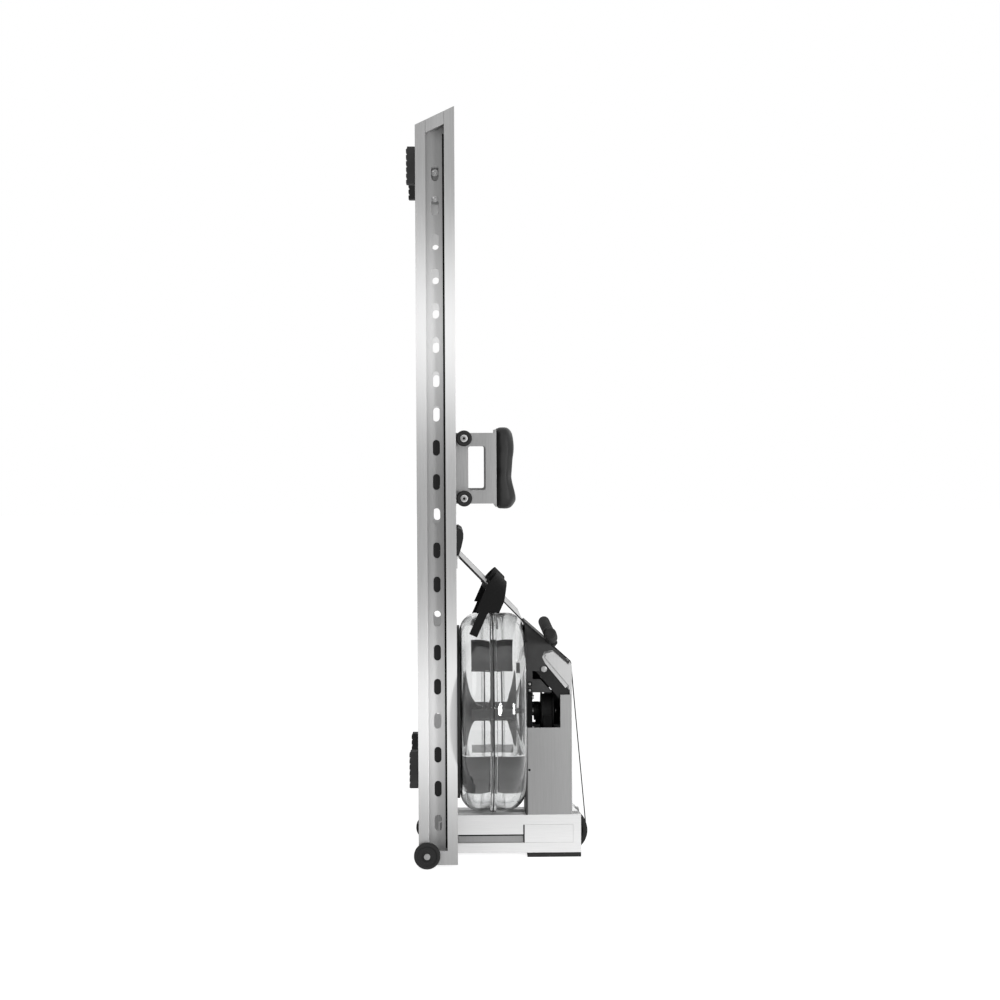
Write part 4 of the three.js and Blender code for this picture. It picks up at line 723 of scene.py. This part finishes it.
# the upper cone wears the paler painted-light copy of the black cone plastic
lathed("tank_cone_upper", coneProfile(cone["upperStart"]), *tankHigh, 120, litConePlastic, "frame",
    slot="black_plastic", sharp=40)
gasketHalf = tank["gasket"] / 2
gasketIn, gasketOut = tank["radius"] - tank["wall"], tank["radius"] + tank["flange"]
gasketRing = rounded([(gasketIn, -gasketHalf), (gasketOut, -gasketHalf), (gasketOut, gasketHalf),
    (gasketIn, gasketHalf)], 0.5, 3)
lathed("tank_gasket_turned", np.concatenate([gasketRing, [(gasketIn + 0.5, -gasketHalf)]]),
    (tank["middle"], 0, tank["z"]), alongX, 180, footRubber, "frame", "tank_gasket")
lathed("tank_base_disc_turned", rod(tank["disc"], tank["discLow"], tank["discHigh"], 1.2),
    (0, 0, tank["z"]), alongX, 160, blackPlastic, "frame", "tank_base_disc")
turned("tank_water", [waterShape(tank)], waterBody, "frame", slot="clear_plastic")
turned("tank_plug_turned", plugShape(plug), blackPlastic, "plug", "tank_plug")
print("tank and water made")


# ---- bands: the drive strap and the foot straps

def bandSection(width, thick, steps=9):
    # a flat band with rolled edges: a is across the width, b through the thickness
    half, edge = width / 2, thick / 2
    turn = np.linspace(-np.pi / 2, np.pi / 2, 5)
    right = np.stack([half - edge + edge * np.cos(turn), edge * np.sin(turn)], 1)
    top = np.stack([np.linspace(half - edge, edge - half, steps)[1:-1], np.full(steps - 2, edge)], 1)
    return np.concatenate([right, top, -right, -top])


def along(path):
    # running length and unit tangents of a row of points
    step = np.diff(path, axis=0)
    length = np.concatenate([[0], np.cumsum(np.linalg.norm(step, axis=1))])
    return length, unit(np.gradient(path, axis=0))


def webbing(name, path, sides, width, thick, material, body, *nodes):
    # the band's section, as wide as each place says, carried along the path, with its length and
    # width written as its UV
    length, tangent = along(path)
    sides = unit(sides)
    section = np.stack([bandSection(each, thick) for each in np.broadcast_to(width, len(path))])
    points, faces = carried(path, sides, np.cross(sides, tangent), section)
    uv = np.stack([np.repeat(length, section.shape[1]), section[:, :, 0].ravel()], 1) / 1000
    return wear(putMesh(name, points, faces, 50, uv), material, body, *nodes, slot="webbing")


strap = dict(width=25, thick=2, gap=0.6, guide=(434.7, 554.5), guideRadius=5, start=(392.08, 602.0),
    twist=0.8)


def strapRuns(s):
    # outer run: pulley's tangent, arc over the guide bar, then straight to the handle's yoke.
    # inner run: round the pulley from the tangent to its far side, then a quarter twist up to the drum
    wrap, guideWrap, drumWrap = [radius + s["gap"] + s["thick"] / 2
        for radius in (pulley["radius"], s["guideRadius"], drum["radius"])]
    centre, guide, start = np.array([(pulley["x"], pulley["z"]), s["guide"], s["start"]], float)
    gap, toYoke = guide - centre, start - guide
    tangent = math.atan2(gap[1], gap[0]) - math.acos((wrap - guideWrap) / np.linalg.norm(gap))
    leave = math.atan2(toYoke[1], toYoke[0]) - math.acos(guideWrap / np.linalg.norm(toYoke))
    angles = np.linspace(tangent, leave, 12)
    arc = guide + guideWrap * np.stack([np.cos(angles), np.sin(angles)], 1)
    first = centre + wrap * np.array([math.cos(tangent), math.sin(tangent)])
    rise = first + (arc[0] - first) * np.linspace(0, 1, 60)[:-1, None]
    slope = arc[-1] + (start - arc[-1]) * np.linspace(0, 1, 14)[1:, None]
    outer = np.insert(np.concatenate([rise, arc, slope]), 1, 0.0, axis=1)
    about = np.linspace(tangent - 0.3 / wrap, -math.pi, 60)
    turn = np.stack([centre[0] + wrap * np.cos(about), 0 * about, centre[1] + wrap * np.sin(about)], 1)
    lean = math.asin(drumWrap / (tank["z"] - centre[1]))
    top = np.array([drum["x"], -drumWrap * math.cos(lean), tank["z"] - drumWrap * math.sin(lean)])
    share = np.linspace(0, 1, 60)[1:, None]
    twist = np.minimum(share[:, 0] / s["twist"], 1) * math.pi / 2
    sides = np.stack([np.sin(twist), np.cos(twist), 0 * twist], 1)
    return (outer, np.concatenate([turn, turn[-1] + (top - turn[-1]) * share]),
        np.concatenate([np.tile([0.0, 1.0, 0.0], (60, 1)), sides]))


outerRun, innerRun, innerSides = strapRuns(strap)
driveStrap = webbing("drive_strap_web", outerRun, np.tile([0.0, 1.0, 0.0], (len(outerRun), 1)),
    strap["width"], strap["thick"], strapWeb, None, "drive_strap")
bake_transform(driveStrap)
webbing("drive_strap_inner_web", innerRun, innerSides, strap["width"], strap["thick"], strapWeb, "frame",
    "drive_strap_inner")

board = dict(low=(118.0, 877.0), high=(295.2, 695.0), length=254, edgeIn=195.05, edgeOut=196.0,
    edgeHigh=0.4, edgeLow=-3.4)
boardLow, boardHigh = np.array([board["low"], board["high"]])
boardAlong = unit(boardHigh - boardLow)
boardOut = np.array([-boardAlong[1], boardAlong[0]])


def onBoard(up, y, out):
    # a place on the footboard: up its slope, across, and out from its face
    up, y, out = np.broadcast_arrays(*[np.asarray(part, float) for part in (up, y, out)])
    spot = boardLow + up[..., None] * boardAlong + out[..., None] * boardOut
    return np.stack([spot[..., 0], y, spot[..., 1]], -1)


footStrap = dict(place=147, lean=0.42, width=67, topShare=0.62, thick=3, rise=42, inner=42, outer=196.8,
    drop=36, point=83, tailWidth=24, tailThick=1.8, tailSetback=11, tailStart=48, tailEnd=140,
    sway=1.4, swayLength=24)
leanAlong, leanUp = math.sin(footStrap["lean"]), math.cos(footStrap["lean"])


def onStrap(x, y, rise):
    # a place on a foot strap: x down the board from its middle, y across, and up along its lean
    x, y, rise = np.broadcast_arrays(*[np.asarray(part, float) for part in (x, y, rise)])
    return onBoard(footStrap["place"] + x, y, 0) + rise[..., None] * np.array([leanAlong, 0, leanUp])


def footStrapEdges(s, side):
    # half an ellipse over the foot, narrower at its top, then down past the board's edge, where the
    # upper edge runs on to the point
    middle, reach = (s["inner"] + s["outer"]) / 2, (s["outer"] - s["inner"]) / 2
    angle = np.linspace(math.pi, 0, 44)
    arch = 0.3 + s["thick"] / 2 + s["rise"] * np.sin(angle)
    rise = np.concatenate([arch, np.linspace(arch[-1], -s["drop"], 12)[1:]])
    half = s["width"] / 2 * (1 - (1 - s["topShare"]) * np.clip(rise, 0, None) / s["rise"])
    y = side * np.concatenate([middle + reach * np.cos(angle), np.full(11, s["outer"])])
    slant = np.linspace(0, s["point"] - s["drop"], 10)[1:]
    low = np.concatenate([onStrap(-half, y, rise), onStrap(-half[-1], y[-1], -s["drop"] - slant)])
    high = np.concatenate([onStrap(half, y, rise), onStrap(half[-1], y[-1], -s["drop"] - 0 * slant)])
    return low, high


for side, name in bothSides:
    low, high = footStrapEdges(footStrap, side)
    webbing("foot_strap_" + name + "_web", (low + high) / 2, high - low, np.linalg.norm(high - low, axis=1),
        footStrap["thick"], footWeb, "frame", "foot_strap_" + name)
    fall = np.linspace(footStrap["tailStart"], footStrap["tailEnd"], 24)
    sway = footStrap["sway"] * np.sin((fall - footStrap["tailStart"]) / footStrap["swayLength"])
    tail = onStrap(-footStrap["tailSetback"], side * (footStrap["outer"] + sway), -fall)
    webbing("foot_strap_" + name + "_tail", tail, np.tile([leanUp, 0, -leanAlong], (24, 1)),
        footStrap["tailWidth"], footStrap["tailThick"], footWeb, "frame")

# black strips on the board's two side edges make those edges dark
edgeUp, edgeOut = [[board[key] for key in keys] for keys in (
    ("length", "length"), ("edgeHigh", "edgeLow", "edgeLow", "edgeHigh"))]
edgeOutline = onBoard([0, 0] + edgeUp, 0, edgeOut)[:, [0, 2]]
for side, name in bothSides:
    turned("footboard_edge_" + name, [slab(edgeOutline, side * board["edgeIn"], side * board["edgeOut"])],
        blackPlastic, "frame", slot="black_plastic")
print("bands laid")


# ---- handle

handle = dict(x=383.75, z=629.55, length=430, bow=30, back=12, bar=13, barEnd=11.6, grip=17, gripEnd=13.4,
    ring=0.35, grips=(80, 211), yoke=(17, 5), yokeStarts=(9, 14, 20))


def handleTube(start, end, radii, sides=40):
    # circles of the given radii along the bar, which bows by the square of its share of the half
    # length: up by bow, back by back
    y = np.linspace(start, end, len(radii))
    bend = (2 * y / handle["length"]) ** 2
    path = np.stack([handle["x"] - handle["back"] * bend, y, handle["z"] + handle["bow"] * bend], 1)
    tangent = along(path)[1]
    level = unit(np.cross(tangent, [0, 0, 1.0]))
    t = np.linspace(0, 2 * np.pi, sides, endpoint=False)
    section = np.asarray(radii, float)[:, None, None] * np.stack([np.cos(t), np.sin(t)], 1)
    return carried(path, level, np.cross(level, tangent), section)


def gripRadii(h, steps=220):
    # a grip swells in the middle and closes over rounded ends, with shallow rings for the fingers
    share = np.linspace(0, 1, steps)
    ends = np.clip(np.minimum(share, 1 - share) / 0.05, 0, 1)
    shoulder = np.sqrt(1 - (1 - ends) ** 2)
    rings = h["ring"] * np.cos(share * 2 * np.pi * 22) * (np.minimum(share, 1 - share) > 0.08)
    return h["gripEnd"] + (h["grip"] - h["gripEnd"] - h["ring"]) * shoulder + rings


barRadii = np.full(61, float(handle["bar"]))
barRadii[[0, -1]] = handle["barEnd"]
barEnd = handle["length"] / 2
turned("handle_bar_swept", [handleTube(-barEnd, barEnd, barRadii)], blackPlastic, "handle", "handle_bar")
for side, name in bothSides:
    start, end = sorted([side * place for place in handle["grips"]])
    turned("handle_grip_" + name + "_swept", [handleTube(start, end, gripRadii(handle))], gripRubber,
        "handle", "handle_grip_" + name)

# the yoke: a rounded bar from the handle's middle towards the strap's start
reach = np.array([strap["start"][0] - handle["x"], 0, strap["start"][1] - handle["z"]])
yokeAlong = unit(reach)
yokeOut = np.array([-yokeAlong[2], 0, yokeAlong[0]])
yokePlaces = np.array([*handle["yokeStarts"], np.linalg.norm(reach) - strap["gap"]])
yokePath = np.array([handle["x"], 0, handle["z"]]) + yokePlaces[:, None] * yokeAlong
yokeWays = [np.tile(way, (len(yokePath), 1)) for way in (alongY, yokeOut)]
yokeSection = rounded(squareCorners * handle["yoke"], 3, 5)
turned("handle_yoke", [carried(yokePath, *yokeWays, yokeSection)], blackPlastic, "handle",
    slot="black_plastic")
print("handle swept")


# ---- monitor buttons and pin

monitor = dict(x=360.137, z=543.231, tilt=0.7, face=15, buttonDown=71, pin=5, pinEnd=67.3)
faceOut = np.array([math.cos(monitor["tilt"]), 0, math.sin(monitor["tilt"])])
faceUp = np.array([-math.sin(monitor["tilt"]), 0, math.cos(monitor["tilt"])])
for number in (1, 2, 3, 4):
    name = "monitor_button_" + str(number)
    low, high = nodeBox(name)
    pinSpot = np.array([monitor["x"], (low[1] + high[1]) / 2, monitor["z"]])
    cap = rounded([(0, -5), (7, -5), (7, 2.7), (5.7, 4), (0, 4.3)], [0, 0.5, 1.0, 1.4, 0], 5, closed=False)
    lathed(name + "_cap", cap, pinSpot + faceOut * monitor["face"] - faceUp * monitor["buttonDown"],
        faceOut, 56, buttonPlastic, frame["nodes"][name]["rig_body"], name)
lathed("monitor_pin_turned", headedPin(monitor["pin"], monitor["pinEnd"]), (monitor["x"], 0, monitor["z"]),
    alongY, 48, boltSteel, "frame", "monitor_pin")


# ---- seat cushion

cushion = dict(x=225.0, z=1122, length=230, width=296, thick=42, horn=12, swell=5.5, hollow=4,
    shrink=(0.96, 0.985, 1.045), shrinkTo=20, cap=6.0, voxel=5.0)


def cushionHeight(share, across):
    # a horn by the front edge, a low swell to the back and a hollow under each thigh, each a bell
    # exp(-((value - middle) / width)^2)
    c = cushion
    horn = c["horn"] * np.exp(-((share - 0.1) / 0.2) ** 2)
    swell = c["swell"] * np.exp(-((share - 0.72) / 0.18) ** 2)
    thigh = 1 + np.exp(-((np.abs(across) - 0.45) / 0.25) ** 2)
    hollow = c["hollow"] * np.exp(-((share - 0.45) / 0.2) ** 2)
    return c["thick"] + horn + swell - hollow * thigh


def squared(value, power):
    return np.sign(value) * np.abs(value) ** power


def cushionShape(rings=72, sides=120):
    # superellipse rings from the front edge to the back: the sine's power squares the rim
    c = cushion
    turn = (np.pi * (np.arange(rings) + 0.5) / rings - np.pi / 2)[:, None]
    z = squared(np.sin(turn), 0.4) * c["length"] / 2
    size = np.cos(turn) ** 0.16
    angle = -np.arange(sides) / sides * 2 * np.pi
    across = squared(np.cos(angle), 0.45) * size
    height = cushionHeight(z / c["length"] + 0.5, across)
    lift = (1 + squared(np.sin(angle), 0.45)) / 2
    points = np.stack([c["x"] + height * lift * size, across * c["width"] / 2, c["z"] + z + 0 * across], -1)
    return points.reshape(-1, 3), gridFaces(rings, sides) + endFaces(rings, sides)


def vertexPlaces(mesh):
    co = np.zeros(len(mesh.vertices) * 3, np.float32)
    mesh.vertices.foreach_get("co", co)
    return co.reshape(-1, 3).astype(float)


def applyAll(piece):
    bpy.context.view_layer.update()
    shown = piece.evaluated_get(bpy.context.evaluated_depsgraph_get())
    mesh = bpy.data.meshes.new_from_object(shown)
    piece.modifiers.clear()
    piece.data = mesh


def padOut(piece, settings):
    # the cover is remeshed, blown out by a cloth under pressure, held to the cap and to the truck's top
    remesh = piece.modifiers.new("remesh", "REMESH")
    remesh.mode = "VOXEL"
    remesh.voxel_size = settings["voxel"] / 1000
    applyAll(piece)
    rest = vertexPlaces(piece.data)
    cloth = piece.modifiers.new("cloth", "CLOTH")
    cloth.settings.use_pressure = True
    cloth.settings.uniform_pressure_force = 4
    cloth.settings.effector_weights.gravity = 0
    for count in range(1, 21):
        bpy.context.scene.frame_set(count)
    applyAll(piece)
    bpy.context.scene.frame_set(1)
    step = vertexPlaces(piece.data) - rest
    length = np.linalg.norm(step, axis=1)
    step *= (np.minimum(length, settings["cap"] / 1000) / np.maximum(length, 1e-9))[:, None]
    kept = rest + step
    kept[:, 0] = np.maximum(kept[:, 0], metres([settings["x"] + 0.2, 0, 0])[0, 0])
    piece.data.vertices.foreach_set("co", kept.astype(np.float32).ravel())
    piece.data.update()


cushionPoints, cushionFaces = cushionShape()
middle = np.array([cushion["x"] + cushion["shrinkTo"], 0, cushion["z"]])
cushionPoints = middle + (cushionPoints - middle) * cushion["shrink"]
seatPad = putMesh("seat_cushion_pad", cushionPoints, cushionFaces, 60)
padOut(seatPad, cushion)
smooth = seatPad.modifiers.new("smooth", "SUBSURF")
smooth.levels = smooth.render_levels = 1
seatPad.data.polygons.foreach_set("use_smooth", np.ones(len(seatPad.data.polygons), bool))
wear(seatPad, seatCover, "seat", "seat_cushion")
print("cushion padded")


# ---- fasteners

def capScrew(centre, axis, radius=6.5, height=5.0, washer=9.5):
    # a socket head on a washer: the profile from the rim of the washer up to the bottom of the socket
    thick = 1.4
    socket, top = height * 0.45 + thick, height + thick
    profile = rounded([(0, 0), (washer, 0), (washer, thick), (radius, thick), (radius, top),
        (radius * 0.55, top), (radius * 0.5, socket), (0, socket)],
        [0, 0.3, 0.3, 0.2, 1.0, 0.3, 0.2, 0], 3, closed=False)
    return revolved(profile, centre, axis, 28)


def domeScrew(centre, axis, radius, height=2.6):
    t = np.linspace(0, np.pi / 2, 6)
    dome = np.stack([radius * np.cos(t), height * np.sin(t)], 1)[:-1]
    profile = np.concatenate([[(0, 0)], [(radius, 0)], dome, [(radius * 0.35, height * 0.98),
        (radius * 0.3, height * 0.4), (0, height * 0.4)]])
    return revolved(profile, centre, axis, 28)


screws = dict(rail=(55, 169.05, (1879, 1952)), gusset=(319, 68.05, (482, 500)), toe=(317.5, 67.05, 252),
    cover=(327.15, (-40, 40), (370, 460)))
ring = [(3.9, 0), (7.4, 0), (7.4, 1.1), (3.9, 1.1), (3.9, 0)]
frameScrews, darkScrews = [], []
for side in twoSides:
    outwards = (0, side, 0)
    x, y, places = screws["rail"]
    frameScrews += [capScrew((x, side * y, z), outwards) for z in places]
    x, y, z = screws["toe"]
    darkScrews.append(domeScrew((x, side * y, z), outwards, 3.4, 1.4))
    x, y, places = screws["gusset"]
    for z in places:
        frameScrews.append(domeScrew((x, side * y, z), outwards, 4.2))
        darkScrews.append(revolved(ring, (x, side * (y - 1), z), outwards, 28))
x, across, places = screws["cover"]
coverScrews = [capScrew((x, y, z), alongX, 5.5, 4.0, 9) for y in across for z in places]
turned("frame_bolts", frameScrews, boltSteel, "frame", slot="steel")
turned("bridge_bolts", coverScrews, boltSteel, "frame", slot="steel")
turned("bridge_washers", darkScrews, innerBlack, "frame", slot="steel")
stubEnd = nodeBox("seat_truck")[1][1] + 0.05
turned("seat_wheel_screws", [domeScrew((seatWheel["x"], side * stubEnd, z), (0, side, 0), 3.6, 1.6)
    for side in twoSides for z in seatWheel["places"].values()],
    innerBlack, "seat", slot="steel")

# dark strips along the rails' mouths are painted shadow, where the lips shade the webs; what fills the
# post's mouth:
# a black strip under its apron and one at its end, painted shade, a grey liner below that, painted shade in
# the recess, and a panel beyond it
railShadowStrip = dict(x=(75.6, 80.9), y=(169.05, 170.6), z=(14, 2060))
mouth = dict(x=(112, 299.3, 303, 442.4), z=(42.3, 62.4, 65.9, 93.7), strip=(65, 66.4), shadeLiner=(61, 62.5),
    panel=(64.8, 66.6))


def plates(x, y, z):
    # a plate between two values each way, on both sides of the machine
    outline = [(x[0], z[0]), (x[1], z[0]), (x[1], z[1]), (x[0], z[1])]
    return [slab(outline, side * y[0], side * y[1]) for side in twoSides]


# black strips: painted shadow along the rails' lips and under the post's apron, painted shade at the
# apron's end
strips = (plates(**railShadowStrip) + plates(mouth["x"][:2], mouth["strip"], mouth["z"][1:3])
    + plates(mouth["x"][1:3], mouth["strip"], mouth["z"][::3]))
turned("mouth_strips", strips, innerBlack, "frame", slot="black_plastic")
# painted shade: grey liners darken the recess under the post's apron
turned("post_shade_liners", plates(mouth["x"][:2], mouth["shadeLiner"], mouth["z"][:2]), bridgeSheet, "frame",
    slot="steel")
turned("post_panels", plates(mouth["x"][2:], mouth["panel"], mouth["z"][::3]), postMetal, "frame",
    slot="brushed_aluminium")

slotFill = dict(x=55, first=120, pitch=96.4, half=9.6, reach=12.5, y=(165.6, 167.6),
    filled=(1, 2, 4, 5, 7, 8, 10, 11))


def slotPlugShape(p, side, number):
    # a black round-ended fill in a rail's slot, a little inside the web's two faces
    turn = np.linspace(0, np.pi, 10)
    end = np.stack([p["half"] * np.cos(turn), p["reach"] + p["half"] * np.sin(turn)], 1)
    outline = np.concatenate([end, -end]) + [p["x"], p["first"] + p["pitch"] * number]
    return slab(outline, side * p["y"][0], side * p["y"][1])


turned("rail_slot_fills", [slotPlugShape(slotFill, side, number) for side in twoSides
    for number in slotFill["filled"]], blackPlastic, "frame", slot="black_plastic")

# the cheeks' flanges, inside the two side plates, close the slanted slit over the window
flange = dict(path=((358.0, 580.3), (429.0, 493.1)), half=9.0, y=(61.2, 62.7))
low, high = np.array(flange["path"])
across = unit(high - low)[::-1] * [-1, 1] * flange["half"]
flangeOutline = [low - across, high - across, high + across, low + across]
turned("cheek_flanges", [slab(flangeOutline, side * flange["y"][0], side * flange["y"][1])
    for side in twoSides], coverSheet, "frame", slot="steel")

# black plate beside the drum, inside the far side plate: painted shade for the dark housing seen through
# the window and the gap
shadePlate = dict(y=(60.7, 62.7), outline=[
    (437, 368), (437, 468), (386, 468), (352, 512), (352, 532), (328, 532), (328, 508), (366, 462),
    (366, 434), (330, 434), (330, 393), (340, 393), (340, 368), (357, 368), (357, 391), (368, 391),
    (368, 368)])
turned("drum_shade_plate", [slab(shadePlate["outline"], *shadePlate["y"])], innerBlack, "frame", slot="black_plastic")
print("fasteners set")


# ---- floor and light

def seenRay(tree):
    # 1 for what the camera sees, straight, in a mirror or through glass
    path = node(tree, "LightPath").outputs
    first = maths(tree, "MAXIMUM", path["Is Camera Ray"], path["Is Glossy Ray"])
    return maths(tree, "MAXIMUM", first, path["Is Transmission Ray"])


def floorPlane(side=30.0, seen=0.55, plain=0.62, glow=0.84):
    # pale floor; for what the camera or a mirror sees it glows a little, so only shadows darken it
    mesh = bpy.data.meshes.new("floor")
    corners = [(x * side, y * side, 0) for x, y in squareCorners.tolist()]
    mesh.from_pydata(corners, [], [(0, 1, 2, 3)])
    floor = linked("floor", mesh)
    material, tree, shader = newMaterial("paleFloor")
    tree.nodes.remove(shader)
    pale, bright = [node(tree, "BsdfDiffuse", {"Color": (tone, tone, tone, 1)}) for tone in (plain, seen)]
    shine = node(tree, "Emission", {"Color": (1, 1, 1, 1), "Strength": glow})
    both = node(tree, "AddShader", {0: bright.outputs[0], 1: shine.outputs[0]})
    shownBy(tree, seenRay(tree), pale, both)
    floor.data.materials.append(material)


def studioWorld(ambient=0.4):
    world = bpy.data.worlds.new("studio")
    world.use_nodes = True
    tree = world.node_tree
    background = tree.nodes["Background"].inputs
    tree.links.new(spread(tree, seenRay(tree), ambient, 1.0, 0.0, 1.0), background["Strength"])
    background["Color"].default_value = (1, 1, 1, 1)
    bpy.context.scene.world = world


def softLamp(name, place, aim, size, share):
    # an area lamp that gives the share of unit light at the place it is aimed at
    lamp = bpy.data.lights.new(name, "AREA")
    lamp.shape = "DISK"
    lamp.size = size
    way = Vector(aim) - Vector(place)
    lamp.energy = share * math.pi * math.pi * way.length ** 2
    thing = linked(name, lamp)
    thing.location = place
    thing.rotation_euler = way.to_track_quat("-Z", "Y").to_euler()


floorPlane()
studioWorld()
softLamp("keyLamp", (2.0, -3.4, 0.95), (0, 0, 0.8), 0.95, 0.46)
softLamp("fillLamp", (-2.4, -3.4, 3.4), (0, 0, 1.0), 2.6, 0.14)
bpy.context.scene.view_settings.view_transform = "Standard"
print("floor and light set")
